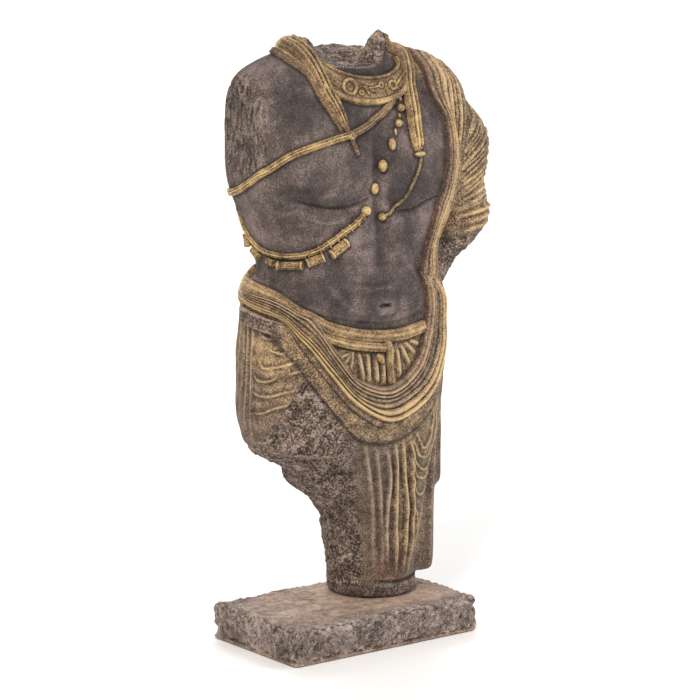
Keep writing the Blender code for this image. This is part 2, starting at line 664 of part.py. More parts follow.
def fold_lines():
    """Every raised line and crease, as axis, line, half width and rise."""
    lines = [(TRUNK_AXIS, *crease) for crease in CREASES]
    for axis, drawn, size in (
        (TRUNK_AXIS, THIGH_RIDGES, RIDGE_SIZE),
        (TRUNK_AXIS, (THIGH_EDGE,), EDGE_SIZE),
        (TRUNK_AXIS, (THIGH_RECESS,), RECESS_SIZE),
        (TRUNK_AXIS, PLEATS, PLEAT_SIZE),
        (LEG_AXIS, LEG_FOLDS, LEG_FOLD_SIZE),
        (LEG_AXIS, WORN_LEG_FOLDS, WORN_FOLD_SIZE),
        (LEG_AXIS, HANGING_LOOPS, LOOP_SIZE),
        (LEG_AXIS, (FOOT_GROOVE,), GROOVE_SIZE),
    ):
        lines += [(axis, line, *size) for line in drawn]
    for index, turn in enumerate(range(-89, -270, -SKIRT_FOLD_STEP)):
        sway = 3 * math.sin(2.1 * index)
        foot = 205 + 12 * (index * 2 % 3)
        lines.append((TRUNK_AXIS, ((turn, 372), (turn + sway, 290), (turn - sway, foot)), *SKIRT_FOLD_SIZE))
    for index, turn in enumerate(range(64, 190, BACK_LEG_FOLD_STEP)):
        sway = 4 * math.sin(1.7 * index)
        lines.append((LEG_AXIS, ((turn, 215), (turn + sway, 110), (turn, 22)), *SKIRT_FOLD_SIZE))
    for index in range(SLEEVE_FOLDS):
        start, end, back = (top - step * index for top, step in (SLEEVE_FRONT, SLEEVE_SIDE, SLEEVE_BACK))
        fold = ((-24, start), (15, (start + end) / 2), (60, end), (110, back), (150, back))
        lines.append((ARM_AXIS, fold, *SLEEVE_FOLD_SIZE))
    return lines


def carve(body, lines):
    """Raises or cuts each line in the body's surface, and swells each mound."""
    surface = surface_of(body)
    mesh = body.data
    count = len(mesh.vertices)
    places = np.empty(count * 3)
    mesh.vertices.foreach_get("co", places)
    places = places.reshape(-1, 3)
    normals = np.array([vertex.normal for vertex in mesh.vertices])
    rise = np.zeros(count)
    for centre, spread, swell in MOUNDS:
        away = (places - np.array(centre)) / np.array(spread)
        rise += swell * np.exp(-(away**2).sum(1))
    for axis, line, width, lift in lines:
        rough_points, _ = laid(surface, axis, curve(line, 12))
        reach = np.linalg.norm(np.diff(rough_points, axis=0), axis=1).sum()
        length = 3 + int(reach / (LINE_STEP * width))
        points, _ = laid(surface, axis, curve(line, length))
        low = points.min(0) - 2.5 * width
        high = points.max(0) + 2.5 * width
        inside = np.nonzero(((places > low) & (places < high)).all(1))[0]
        strength = np.zeros(len(inside))
        for point, weight in zip(points, end_fade(length, LINE_FADE)):
            away = ((places[inside] - point) ** 2).sum(1)
            strength = np.maximum(strength, weight * np.exp(-away / width**2))
        rise[inside] += lift * strength
    places += normals * rise[:, None]
    return places


def break_line(turn):
    """Height under which the thigh is broken stone, by turn around the trunk."""
    turns, heights = zip(*BREAK_LINE)
    return np.interp(turn, turns, heights, left=BREAK_LINE[0][1], right=0)


def broken(places):
    """1 on broken stone and 0 on carving: the thigh, the leg's inner side and the cut shoulder."""
    turn = np.degrees(np.arctan2(places[:, 0] - TRUNK_AXIS[0], TRUNK_AXIS[1] - places[:, 1]))
    leg_turn = np.degrees(np.arctan2(places[:, 0] - LEG_AXIS[0], LEG_AXIS[1] - places[:, 1]))
    height = places[:, 2]
    thigh = np.clip((break_line(turn) - height) / BREAK_EDGE, 0, 1)
    leg = np.clip((LEG_BREAK_TURN - leg_turn) / LEG_BREAK_EDGE, 0, 1)
    leg = leg * (leg_turn > LEG_BREAK_BACK) * (height > FOOT_THICKNESS)
    shoulder = np.clip((SHOULDER_CUT - places[:, 0]) / SHOULDER_CUT_EDGE, 0, 1)
    shoulder = shoulder * (height > SHOULDER_CUT_FOOT)
    return np.maximum(np.where(height < LEG_BREAK_TOP, leg, thigh), SHOULDER_ROUGHNESS_SHARE * shoulder)


def roughen(places, normals):
    """Coarse facets of broken stone."""
    share = broken(places)
    for index in np.nonzero(share > 0)[0]:
        grain = noise.noise(Vector(places[index]) / BREAK_GRAIN)
        places[index] += normals[index] * share[index] * BREAK_ROUGHNESS * grain
    return places


def break_neck(places):
    """Presses the neck's top down to a hollow break that falls to the front, with a peak on its left."""
    x, y, z = places.T
    rim = NECK_RIM_FRONT + (y - NECK_RIM_FROM) * NECK_RIM_RISE
    from_scoop = np.hypot(x - NECK_SCOOP_CENTRE[0], y - NECK_SCOOP_CENTRE[1])
    rim = rim - NECK_SCOOP * np.exp(-((from_scoop / NECK_SCOOP_SPREAD) ** 2))
    for (peak_x, peak_y), spread, height in NECK_PEAKS:
        rim = rim + height * np.exp(-((x - peak_x) ** 2 + (y - peak_y) ** 2) / spread**2)
    near = (np.hypot(x - NECK_CENTRE[0], y - NECK_CENTRE[1]) < NECK_REACH) & (z > rim)
    places[near, 2] = rim[near]
    return places


def keep_largest(mesh):
    """Deletes loose scraps and sealed hollows, so that one skin is left."""
    shape = bmesh.new()
    shape.from_mesh(mesh)
    unseen = set(shape.verts)
    groups = []
    while unseen:
        group = {unseen.pop()}
        edge = list(group)
        while edge:
            vertex = edge.pop()
            for link in vertex.link_edges:
                other = link.other_vert(vertex)
                if other in unseen:
                    unseen.discard(other)
                    group.add(other)
                    edge.append(other)
        groups.append(group)
    groups.sort(key=len)
    for group in groups[:-1]:
        bmesh.ops.delete(shape, geom=list(group), context="VERTS")
    shape.to_mesh(mesh)
    shape.free()


def set_places(mesh, places):
    mesh.vertices.foreach_set("co", places.reshape(-1))
    mesh.update()


def vertex_normals(mesh):
    return np.array([vertex.normal for vertex in mesh.vertices])


def make_figure():
    """The cast figure, standing in the plinth's seat."""
    body = body_shape()
    surface = surface_of(body)
    pieces = [body, *drapery(surface), *girdle(surface), *ribbons(surface), *jewellery(surface)]
    body = fuse(pieces, CARVING_GRID, CARVING_SMOOTHING)
    body.name = "figure"
    mesh = body.data
    mesh.name = "figure"
    keep_largest(mesh)
    set_places(mesh, carve(body, fold_lines()))
    places = roughen(read_places(mesh), vertex_normals(mesh))
    places = break_neck(places)
    places[:, 2] = np.where(places[:, 2] < FLAT_BAND, 0, places[:, 2])
    set_places(mesh, places)
    fewer = body.modifiers.new("Fewer faces", "DECIMATE")
    fewer.ratio = FIGURE_TRIANGLES / (2 * len(mesh.polygons))
    apply_modifiers(body)
    return body


def read_places(mesh):
    places = np.empty(len(mesh.vertices) * 3)
    mesh.vertices.foreach_get("co", places)
    return places.reshape(-1, 3)


def stand_on_seat(figure):
    """Brings the figure to its real size and lowers it onto the plinth's seat."""
    seat = PLINTH_HEIGHT - SEAT_DEPTH + CONTACT_GAP
    places = read_places(figure.data) * UNIT
    places[:, 2] = np.where(places[:, 2] < FLAT_BAND * UNIT / 2, 0, places[:, 2]) + seat
    set_places(figure.data, places)


def make_plinth():
    """Rough block with worn edges and a shallow round seat for the foot."""
    bpy.ops.mesh.primitive_cube_add(size=1)
    block = bpy.context.object
    block.name = "plinth"
    mesh = block.data
    mesh.name = "plinth"
    size = (PLINTH_WIDTH, PLINTH_DEPTH, PLINTH_HEIGHT)
    mesh.transform(Matrix.Translation((0, 0, PLINTH_HEIGHT / 2)) @ Matrix.Diagonal((*size, 1)))
    shape = bmesh.new()
    shape.from_mesh(mesh)
    edges = [edge for edge in shape.edges if max(vertex.co.z for vertex in edge.verts) > 0]
    bmesh.ops.bevel(shape, geom=edges, offset=PLINTH_EDGE, segments=2, profile=0.6, affect="EDGES")
    for axis, cuts in enumerate(PLINTH_CUTS):
        for index in range(1, cuts):
            plane = Vector((0, 0, 0))
            plane[axis] = size[axis] * (index / cuts - (0.5 if axis < 2 else 0))
            facing = Vector((0, 0, 0))
            facing[axis] = 1
            everything = shape.verts[:] + shape.edges[:] + shape.faces[:]
            bmesh.ops.bisect_plane(shape, geom=everything, plane_co=plane, plane_no=facing)
    middle = Vector((0, 0, PLINTH_HEIGHT / 2))
    for vertex in shape.verts:
        worn = PLINTH_WEAR * (1 + noise.noise(vertex.co / PLINTH_WEAR_GRAIN)) / 2
        inward = middle - vertex.co
        inward.x *= abs(vertex.co.x) * 2 / PLINTH_WIDTH > 0.9
        inward.y *= abs(vertex.co.y) * 2 / PLINTH_DEPTH > 0.9
        inward.z *= vertex.co.z > PLINTH_HEIGHT * 0.9
        vertex.co += inward.normalized() * worn
    bmesh.ops.triangulate(shape, faces=shape.faces)
    shape.to_mesh(mesh)
    shape.free()
    return block


def make_seat_cutter():
    """Disc that cuts the seat, wider than the foot by the seat's clearance."""
    radius = FOOT_RADIUS * UNIT + SEAT_CLEARANCE
    depth = PLINTH_HEIGHT / 2
    place = (FOOT[0] * UNIT, FOOT[1] * UNIT, PLINTH_HEIGHT - SEAT_DEPTH + depth / 2)
    bpy.ops.mesh.primitive_cylinder_add(vertices=64, radius=radius, depth=depth, location=place)
    cutter = bpy.context.object
    cutter.name = "Seat cutter"
    cutter.display_type = "WIRE"
    cutter.hide_render = True
    return cutter


def cut(body, cutter):
    removal = body.modifiers.new("Seat", "BOOLEAN")
    removal.operation = "DIFFERENCE"
    removal.solver = "EXACT"
    removal.object = cutter


def stone_material(name, colour):
    material = bpy.data.materials.new(name)
    material.use_nodes = True
    shader = material.node_tree.nodes["Principled BSDF"]
    shader.inputs["Base Color"].default_value = (*colour, 1)
    shader.inputs["Roughness"].default_value = STONE_ROUGHNESS
    shader.inputs["Metallic"].default_value = 0
    return material


def move_to(collection, item):
    for current in list(item.users_collection):
        current.objects.unlink(item)
    collection.objects.link(item)


def main():
    for item in list(bpy.data.objects):
        bpy.data.objects.remove(item)
    parts = bpy.data.collections.new("Warrior torso")
    cutters = bpy.data.collections.new("Cutters")
    bpy.context.scene.collection.children.link(parts)
    bpy.context.scene.collection.children.link(cutters)

    figure = make_figure()
    stand_on_seat(figure)
    figure.data.materials.clear()
    figure.data.materials.append(stone_material("Stone-finished cast", FIGURE_COLOUR))
    move_to(parts, figure)

    plinth = make_plinth()
    plinth.data.materials.append(stone_material("Stone-finished plinth", PLINTH_COLOUR))
    move_to(parts, plinth)
    cutter = make_seat_cutter()
    move_to(cutters, cutter)
    cut(plinth, cutter)


main()
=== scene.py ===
"""Draped warrior torso on its plinth: the fine carving, the painted cast finish, light and camera."""

import math

import bmesh
import bpy
import numpy as np
from mathutils import Matrix, Vector, noise
from mathutils.bvhtree import BVHTree
from mathutils.kdtree import KDTree


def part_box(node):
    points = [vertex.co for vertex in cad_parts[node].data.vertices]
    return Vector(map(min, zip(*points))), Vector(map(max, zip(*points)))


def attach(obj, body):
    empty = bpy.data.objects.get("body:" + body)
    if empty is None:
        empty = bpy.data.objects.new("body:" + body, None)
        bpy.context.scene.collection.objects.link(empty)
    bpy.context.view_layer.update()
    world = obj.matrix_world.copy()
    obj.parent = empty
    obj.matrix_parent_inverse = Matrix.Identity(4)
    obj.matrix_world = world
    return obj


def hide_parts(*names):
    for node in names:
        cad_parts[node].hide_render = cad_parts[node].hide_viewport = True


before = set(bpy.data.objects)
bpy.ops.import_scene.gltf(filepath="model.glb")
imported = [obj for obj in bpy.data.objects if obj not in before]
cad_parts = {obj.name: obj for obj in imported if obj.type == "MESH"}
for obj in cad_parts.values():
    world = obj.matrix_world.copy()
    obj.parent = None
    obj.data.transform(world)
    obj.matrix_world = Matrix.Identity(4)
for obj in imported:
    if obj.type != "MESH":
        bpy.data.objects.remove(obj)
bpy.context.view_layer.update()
FIGURE_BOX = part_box("figure")
PLINTH_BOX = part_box("plinth")

# The figure is carved in its own unit, a 662nd of its height, with its foot's underside at 0
FIGURE_HEIGHT = 0.662
HEIGHT_SHARES = 662
UNIT = FIGURE_HEIGHT / HEIGHT_SHARES
SEAT_HEIGHT = FIGURE_BOX[0][2]

FOOT = (54, 22)
FOOT_RADIUS = 52
FOOT_THICKNESS = 14
TRUNK_AXIS = (0, 6)
LEG_AXIS = (54, 20)
ARM_AXIS = (146, -2)

# Points round a loft and the step between its rings, then the grid of each fused skin
RING_POINTS = 80
RING_STEP = 6
BODY_GRID = 3.0
TORSO_GRID = 3.3
HIPS_GRID = 3.2
BODY_SMOOTHING = 10
# Meshes with more faces than this keep this share of their triangles at the end
DENSE_MESH = 6000
KEPT_SHARE = 0.6

# A station is: place, centre, centre, half width, half depth one way and the other, squareness
HIPS_AND_LEG = (
    (0, *FOOT, FOOT_RADIUS, FOOT_RADIUS, FOOT_RADIUS, 2.0),
    (FOOT_THICKNESS, *FOOT, FOOT_RADIUS, FOOT_RADIUS, FOOT_RADIUS, 2.0),
    (24, 52, 22, 51, 50, 47, 2.1),
    (60, 52, 22, 55, 53, 49, 2.2),
    (90, 51, 22, 58, 57, 52, 2.2),
    (107, 48, 20, 64, 60, 54, 2.2),
    (125, 38, 18, 75, 62, 57, 2.2),
    (143, 27, 15, 88, 64, 62, 2.3),
    (160, 23, 12, 91, 66, 66, 2.3),
    (178, 7, 9, 109, 70, 68, 2.4),
    (196, -2, 7, 122, 74, 70, 2.4),
    (213, -4, 6, 126, 77, 72, 2.4),
    (260, -3, 6, 127, 80, 74, 2.4),
    (300, -2, 6, 127, 78, 76, 2.4),
    (330, -1, 6, 126, 76, 72, 2.4),
    (352, 1, 6, 128, 76, 68, 2.4),
    (364, 0, 6, 129, 73, 66, 2.4),
    (378, 0, 6, 125, 66, 63, 2.4),
    (391, 0, 6, 117, 62, 58, 2.4),
)
TRUNK = (
    (300, 0, 6, 122, 74, 70, 2.4),
    (360, 1, 5, 120, 76, 60, 2.4),
    (388, 3, 4, 115, 73, 56, 2.4),
    (405, 3, 4, 115, 70, 56, 2.5),
    (423, 2, 4, 119, 68, 58, 2.6),
    (440, 2, 5, 122, 67, 61, 3.0),
    (457, 2, 5, 126, 67, 64, 3.2),
    (474, 1, 6, 132, 68, 66, 3.5),
    (509, 1, 7, 134, 69, 68, 3.8),
    (543, 1, 8, 134, 66, 68, 3.6),
    (575, 1, 9, 134, 58, 62, 3.0),
    (596, 2, 10, 126, 48, 52, 2.6),
    (615, 4, 11, 100, 40, 42, 2.3),
    (640, 7, 12, 50, 30, 34, 2.0),
)
NECK = (
    (590, 6, 10, 66, 50, 50, 2.0),
    (610, 6, 10, 52, 46, 46, 2.0),
    (625, 7, 10, 47, 42, 44, 2.0),
    (664, 8, 10, 46, 40, 46, 2.0),
)
LEFT_ARM = (
    (358, 102, -12, 18, 18, 20, 2.2),
    (372, 107, -12, 24, 22, 26, 2.2),
    (385, 114, -11, 25, 28, 32, 2.2),
    (398, 122, -10, 29, 32, 36, 2.2),
    (410, 134, -8, 35, 35, 39, 2.3),
    (421, 144, -6, 42, 36, 40, 2.3),
    (474, 147, -3, 42, 37, 42, 2.3),
    (543, 147, 0, 41, 40, 46, 2.3),
    (562, 138, 2, 35, 36, 40, 2.2),
    (574, 128, 4, 30, 32, 34, 2.1),
)
SIDE_CLOTH = (
    (19, 99, 12, 30, 24, 27, 3.0),
    (24, 99, 12, 31, 24, 27, 2.8),
    (60, 99, 12, 31, 24, 27, 2.6),
    (150, 100, 12, 31, 26, 29, 2.6),
    (230, 97, 12, 32, 30, 32, 2.6),
)
HIP_CLOTH = (
    (121, 109, 16, 36, 24, 30, 3.0),
    (126, 109, 16, 36, 25, 31, 2.8),
    (200, 109, 15, 35, 26, 32, 2.6),
    (300, 104, 12, 34, 30, 34, 2.6),
    (340, 96, 10, 30, 28, 32, 2.6),
)
# The shoulders run along X, so their centres are y and z
RIGHT_SHOULDER = (
    (-138, 8, 541, 36, 62, 72, 3.4),
    (-130, 8, 543, 41, 68, 79, 3.0),
    (-110, 8, 545, 46, 76, 88, 2.6),
    (-85, 9, 548, 50, 78, 93, 2.3),
    (-55, 9, 550, 50, 80, 96, 2.2),
    (-20, 9, 552, 50, 80, 98, 2.2),
)
LEFT_SHOULDER = (
    (-20, 9, 552, 50, 80, 98, 2.2),
    (55, 9, 550, 50, 80, 90, 2.2),
    (90, 8, 548, 51, 80, 82, 2.3),
    (115, 7, 545, 50, 80, 75, 2.3),
    (140, 6, 540, 46, 74, 65, 2.3),
    (158, 5, 530, 36, 60, 52, 2.3),
    (169, 5, 522, 22, 42, 40, 2.2),
)
LOFTS = {
    "Hips": (HIPS_AND_LEG, "Z"), "Trunk": (TRUNK, "Z"), "Neck": (NECK, "Z"), "Arm": (LEFT_ARM, "Z"),
    "Side": (SIDE_CLOTH, "Z"), "Hip": (HIP_CLOTH, "Z"), "Right": (RIGHT_SHOULDER, "X"),
    "Left": (LEFT_SHOULDER, "X"),
}

# Edges of cloth that stands off the body, as turn in degrees from the front and height
SWAG_TOP = (
    (-101, 376), (-74, 370), (-56, 348), (-42, 311), (-25, 276), (0, 265), (26, 282), (40, 317), (42, 388),
)
SWAG_FOOT = (
    (-97, 360), (-74, 350), (-61, 315), (-46, 274), (-27, 236), (7, 213), (40, 229), (64, 280), (64, 372),
)
FRINGE_EDGE = (
    (-84, 340), (-66, 305), (-52, 265), (-39, 232), (-25, 206), (2, 196), (28, 201), (48, 222), (62, 262),
)
SHAWL_INNER = (
    (97, 634), (80, 630), (66, 604), (63, 557), (59, 520), (56, 483), (51, 432), (44, 399), (42, 376),
)
SHAWL_OUTER = (
    (101, 612), (82, 606), (76, 585), (72, 557), (71, 520), (70, 483), (67, 450), (59, 424), (56, 400),
    (60, 372),
)
BACK_UPPER = (
    (104, 628), (120, 614), (138, 588), (155, 548), (175, 500), (195, 462), (215, 428), (237, 402),
    (261, 382),
)
BACK_LOWER = (
    (104, 520), (120, 486), (138, 450), (155, 422), (175, 400), (195, 386), (215, 376), (237, 366),
    (263, 356),
)
# Broken knobbly stretch below the cloth at the hip
HIP_LUMP = (((-102, 356), (-86, 352), (-71, 344)), ((-100, 338), (-86, 335), (-74, 330)))
COLLAR_TOP = (
    (-66, 632), (-60, 628), (-48, 620), (-30, 614), (-3, 610), (26, 609), (47, 611), (59, 618),
    (66, 628),
)
COLLAR_LOW = (
    (-58, 606), (-50, 599), (-41, 593), (-27, 587), (-3, 583), (21, 583), (37, 586), (48, 591),
    (58, 601),
)

# Rounded folds across a cloth, as place from its first edge (0) to its last (1), half width and rise
SWAG_FOLDS = (
    (0.06, 0.055, 4.5), (0.15, 0.04, 6.5), (0.25, 0.045, 5), (0.37, 0.06, 3.6), (0.49, 0.05, 5),
    (0.61, 0.055, 6.5), (0.74, 0.06, 6.8), (0.9, 0.1, 3.2),
)
SHAWL_FOLDS = (
    (0.1, 0.1, 3.5), (0.26, 0.05, 4.5), (0.38, 0.06, 5.5), (0.52, 0.07, 5), (0.66, 0.055, 4),
    (0.79, 0.06, 4.5), (0.93, 0.07, 3),
)
BACK_FOLDS = (
    (0.05, 0.05, 4), (0.15, 0.045, 3), (0.27, 0.07, 4.5), (0.4, 0.05, 3), (0.52, 0.06, 4.2),
    (0.65, 0.06, 3.2), (0.77, 0.05, 4), (0.9, 0.08, 3),
)

# Points along and across a cloth, its fringe and the hip's lump
CLOTH_STEPS = (320, 110)
FRINGE_STEPS = (420, 36)
LUMP_STEPS = (110, 40)
# Gold and rust of a cloth from its first edge to its last
SWAG_GOLD = (0.3, 0.3, 0.5, 0.5, 0.7, 1, 1, 0.85, 0.7)
SWAG_RUST = (0.7, 0.6, 0.3, 0.1, 0, 0, 0, 0, 0)
SHAWL_GOLD = (0.15, 0.35, 0.8, 0.9, 0.9, 0.85, 0.8)
SHAWL_RUST = (0.9, 0.6, 0.15, 0, 0, 0, 0)

# Ribbons over the shoulders, as x, y, z near the surface that they lie on
RIGHT_LAPPET = (
    (-30, 46, 640), (-44, 40, 648), (-60, 26, 650), (-69, 6, 644), (-67, -9, 636), (-64, -22, 627),
    (-60, -29, 614), (-54, -35, 598), (-49, -43, 584), (-44, -50, 569), (-41, -54, 560),
)
RIGHT_LAPPET_TAIL = ((-42, -52, 562), (-37, -56, 551), (-33, -59, 538), (-30, -60, 527))
LAPPET_CROSSING = (-36, -57, 549)
LEFT_LAPPET = (
    (42, -6, 650), (52, -8, 647), (61, -10, 641), (68, -12, 631), (66, -25, 616), (62, -35, 598),
    (58, -46, 577), (55, -55, 554), (54, -59, 534), (53, -60, 524),
)
LAPPET_KNOB = (53, -61, 521)
SHOULDER_STRAND = (
    (-86, 22, 640), (-90, 2, 639), (-88, -12, 634), (-82, -21, 628), (-73, -28, 620), (-66, -33, 606),
)
STRAND_EDGE = ((-74, -28, 618), (-68, -34, 604), (-61, -41, 585), (-54, -50, 569), (-47, -55, 554))
LAPPET_ROOT = ((-58, 27, 641), (17, 14, 15))

# Lines laid around the trunk, as turn and height
BALDRIC = (
    (34, 584), (16, 572), (-3, 562), (-16, 556), (-29, 551), (-43, 547), (-61, 536), (-75, 515),
    (-85, 500), (-97, 487), (-128, 484), (-160, 510), (-200, 556),
)
SIDE_CORD = ((38, 519), (34, 501), (32, 489), (29, 476), (25, 467), (19, 462), (8, 456))
CHAIN = (
    (-17, 461), (-28, 449), (-38, 440), (-46, 432), (-53, 425), (-61, 420), (-71, 418), (-79, 419),
    (-88, 422), (-95, 429), (-102, 440), (-112, 464), (-128, 484),
)
# Bars across the chain: how many, and the points of its line that they stand on
CHAIN_BARS = 8
CHAIN_BAR_START = 8
CHAIN_BAR_STEP = 14
WAISTBAND = (
    (-101, 381), (-78, 374), (-60, 352), (-47, 337), (-35, 330), (-8, 322), (16, 320), (44, 325),
)
BELT_ROPE = ((-56, 334), (-48, 327), (-35, 318), (-21, 313), (0, 308))
KNOT = (3, 310)
KNOT_TAIL = ((2, 313), (5, 304), (5, 290), (7, 266))
KNOT_LEAF = (-6, 297)
# Beads as turn, height, half width and half height
BEADS = (
    (41, 584, 1.8, 3.2), (36, 574, 4.2, 4.4), (32, 566, 1.6, 3), (28, 558, 4.2, 4.4), (23, 549, 1.4, 4.2),
    (16, 536, 4, 6.6), (6, 513, 5, 6.8), (-4, 488, 4.6, 6.2), (-16, 464, 5.4, 5.4), (6, 455, 4.4, 4.4),
)
# Amulet cases as turn, height, half length, radius and tilt in degrees
AMULETS = (
    (-41, 425, 12, 5.8, 32), (-55, 414, 10, 5.4, 18), (-69, 408, 15, 4.8, 2), (-81, 410, 4.5, 4.2, -10),
    (-93, 417, 7, 4.4, -30), (-101, 430, 7, 4.4, -60),
)
CASE_SIDES = 60
CASE_RIBS = 9

# Collar ornament on its band: rings as turn, height, radius and thickness, bars as turn, height and tilt
COLLAR_RINGS = ((-29, 601, 8.4, 1.9), (41, 598, 4.8, 1.5), (-12, 593, 2.4, 1.2), (24, 600, 2.8, 1.2))
COLLAR_BARS = (
    (-55, 612, 40), (-50, 608, 40), (-45, 604, 40), (-6, 600, 80), (-1, 594, 20), (4, 598, 90),
    (10, 594, 70), (15, 599, 100), (30, 592, 10), (50, 602, -40), (54, 606, -40),
    (58, 610, -40),
)

# Creases and low ridges of the body, as line in turn and height, half width and rise
MUSCLE_LINES = (
    (((-66, 520), (-63, 492), (-54, 475), (-40, 470), (-24, 475), (-10, 486)), 10, -5),
    (((-65, 484), (-59, 478), (-50, 472), (-38, 469), (-23, 471), (-9, 478)), 2, -1.8),
    (((14, 480), (22, 464), (35, 460), (52, 468)), 9, -4),
    (((19, 459), (31, 458), (39, 458), (47, 464), (55, 471)), 2, -1.5),
    (((4, 570), (0, 520), (0, 476), (2, 430), (2, 397), (3, 366)), 8, -4),
    (((-60, 352), (-39, 341), (-12, 333), (22, 332), (40, 340)), 5, -4),
    (((-35, 446), (-42, 410), (-50, 372)), 10, -2.8),
    (((34, 446), (38, 410), (40, 376)), 8, -2.5),
    (((-3, 356), (8, 355)), 2.2, -4.5),
    (((-6, 349), (2, 347), (10, 349)), 4, 1.6),
    (((-178, 600), (-179, 560), (-180, 520)), 10, -4),
    (((-172, 500), (-176, 450), (-178, 410)), 14, -4),
    (((-120, 540), (-134, 520), (-150, 512)), 12, -2.5),
    (((-62, 448), (-50, 440), (-38, 446), (-26, 462)), 7, -1.6),
    (((-54, 457), (-46, 454), (-38, 455)), 1.6, 1),
    (((-28, 384), (-12, 381), (10, 382)), 3, -0.9),
    (((-22, 405), (-8, 402), (12, 403)), 3, -0.9),
    (((-20, 372), (-8, 376), (8, 376)), 1.4, 0.7),
    (((-34, 426), (-18, 423), (-6, 426)), 5, -1.4),
    (((-48, 392), (-38, 366), (-22, 350)), 5, 1.4),
)
MUSCLE_DEPTH = 1.65
MOUNDS = (
    ((-70, -52, 512), (42, 26, 28), 8),
    ((52, -54, 508), (34, 26, 28), 7),
    ((-26, -62, 436), (20, 20, 24), 3.5),
    ((24, -62, 436), (20, 20, 24), 3.5),
    ((0, -70, 380), (46, 26, 22), 3),
    ((-62, 70, 556), (34, 26, 36), 6),
)

# Thin ridges of the cloth over the broken thigh, as turn and height around the trunk
THIGH_RIDGES = (
    ((-84, 331), (-80, 325), (-75, 325), (-70, 329)),
    ((-80, 345), (-76, 340), (-71, 340), (-68, 345)),
    ((-77, 312), (-71, 309), (-64, 316)),
    ((-84, 299), (-79, 291), (-74, 293), (-67, 297), (-58, 307)),
    ((-87, 281), (-83, 276), (-78, 276), (-72, 282)),
    ((-67, 286), (-61, 290), (-56, 296)),
    ((-89, 263), (-84, 259), (-78, 259), (-70, 264), (-61, 270)),
    ((-87, 238), (-81, 239), (-74, 246), (-64, 253)),
    ((-86, 204), (-80, 205), (-74, 212)),
)
THIGH_BILLOWS = (
    ((-84, 318), (-76, 316), (-70, 321)), ((-86, 288), (-76, 286), (-64, 292)),
    ((-88, 270), (-78, 268), (-64, 277)), ((-88, 249), (-80, 249), (-68, 256)),
    ((-88, 222), (-80, 223), (-72, 230)),
)
# Folds down the standing leg, as turn and height around the leg
LEG_FOLDS = (
    ((-27, 186), (-22, 145), (-22, 111), (-20, 76), (-17, 40)),
    ((-22, 200), (-16, 155), (-11, 109), (-5, 64), (-2, 26)),
    ((-15, 200), (-7, 153), (5, 106), (11, 61), (12, 30)),
    ((-5, 196), (4, 150), (16, 104), (22, 70), (24, 26)),
)
WORN_LEG_FOLDS = (
    ((-36, 200), (-31, 135), (-29, 112), (-25, 77), (-24, 30)),
    ((-42, 206), (-40, 160), (-37, 110), (-36, 40)),
)
# Loops of cloth that hang between the leg and the side, as turn and height around the leg
HANGING_LOOPS = (
    ((-8, 198), (-2, 179), (10, 160), (27, 150), (42, 158), (46, 176), (42, 198), (36, 222)),
    ((-4, 196), (3, 182), (13, 169), (25, 166), (36, 176), (33, 196), (29, 218)),
    ((-1, 204), (6, 190), (16, 179), (22, 185), (22, 203), (22, 224)),
    ((-4, 174), (4, 157), (18, 142), (34, 139), (48, 146)),
    ((0, 153), (10, 136), (27, 119), (42, 122), (52, 132)),
    ((20, 104), (33, 87), (36, 74)),
    ((44, 104), (42, 82), (38, 66)),
)
PLEATS = (
    ((-25, 306), (-21, 273)), ((-17, 304), (-16, 271)), ((-10, 303), (-8, 269)), ((-2, 300), (-2, 268)),
    ((13, 306), (15, 272)), ((17, 308), (25, 285)), ((22, 310), (31, 296)), ((26, 312), (35, 306)),
)
PLEAT_STAR = (-29, 308)
PLEAT_RAYS = ((-38, 311), (-38, 303), (-35, 296), (-31, 286))
THIGH_EDGE = ((-76, 197), (-60, 194), (-46, 186), (-37, 165))
THIGH_RECESS = ((-70, 181), (-56, 176), (-43, 164), (-34, 138))
SKIRT_FOLD_STEP = 10
SLEEVE_FOLDS = 16
# A carved line's share of fading ends, its step and reach as shares of its width, and the points that
# its length is measured with
LINE_FADE = 0.2
LINE_STEP = 0.4
LINE_REACH = 2.5
LINE_POINTS = 12
# Distance from an axis at which rays towards the skin start, outside all of the figure
RAY_START = 300

# Neck's break: its rim's height at the front and rise to the back, the scoop in its middle, how far it
# reaches from the neck's middle, and its peaks as x and y, spread and height
NECK_RIM_FRONT = 621
NECK_RIM_RISE = 0.19
NECK_SCOOP = 7
NECK_REACH = 60
# Crumbs of the neck's break, as depth, grain and seed
NECK_CRUMBS = ((0.9, 8, 2), (0.6, 3, 3))
NECK_PEAKS = (((36, -7), 15, 24), ((52, -3), 15, 20), ((-34, 32), 14, 18), ((20, 34), 16, 4))
# Upper edge of the broken thigh, as turn and height around the trunk
BREAK_LINE = (
    (-180, 205), (-100, 192), (-88, 196), (-80, 212), (-70, 240), (-63, 266), (-57, 288), (-46, 262),
    (-35, 214), (-24, 199), (0, 120),
)
# Depth and grain of the facets, crumbs and cut streaks of broken stone
BREAK_ROUGHNESS = 3.2
BREAK_GRAIN = 16
CRUMB_ROUGHNESS = 1.3
CRUMB_GRAIN = 3.4
STREAK_DEPTH = 6
STREAK_SIZE = (4, 4.5, 13)
LEG_BREAK_TURN = -46
LEG_BREAK_TOP = 196
SHOULDER_CUT = -134
SHOULDER_CUT_FOOT = 500
# Grain of the wear on small cast pieces
WEAR_GRAIN = 2.6
# The figure's underside is flat up to this height
FLAT_BAND = 1.2
# Share of bare stone that shows on the worn shoulder cut and on the neck's break
CUT_STONE = 0.4
NECK_STONE = 0.75
# How far the hips are tucked under the belly above the waistband
TUCKED_IN = 3.5
# How far a cloth's inner side is under the skin
CLOTH_SINK = 14
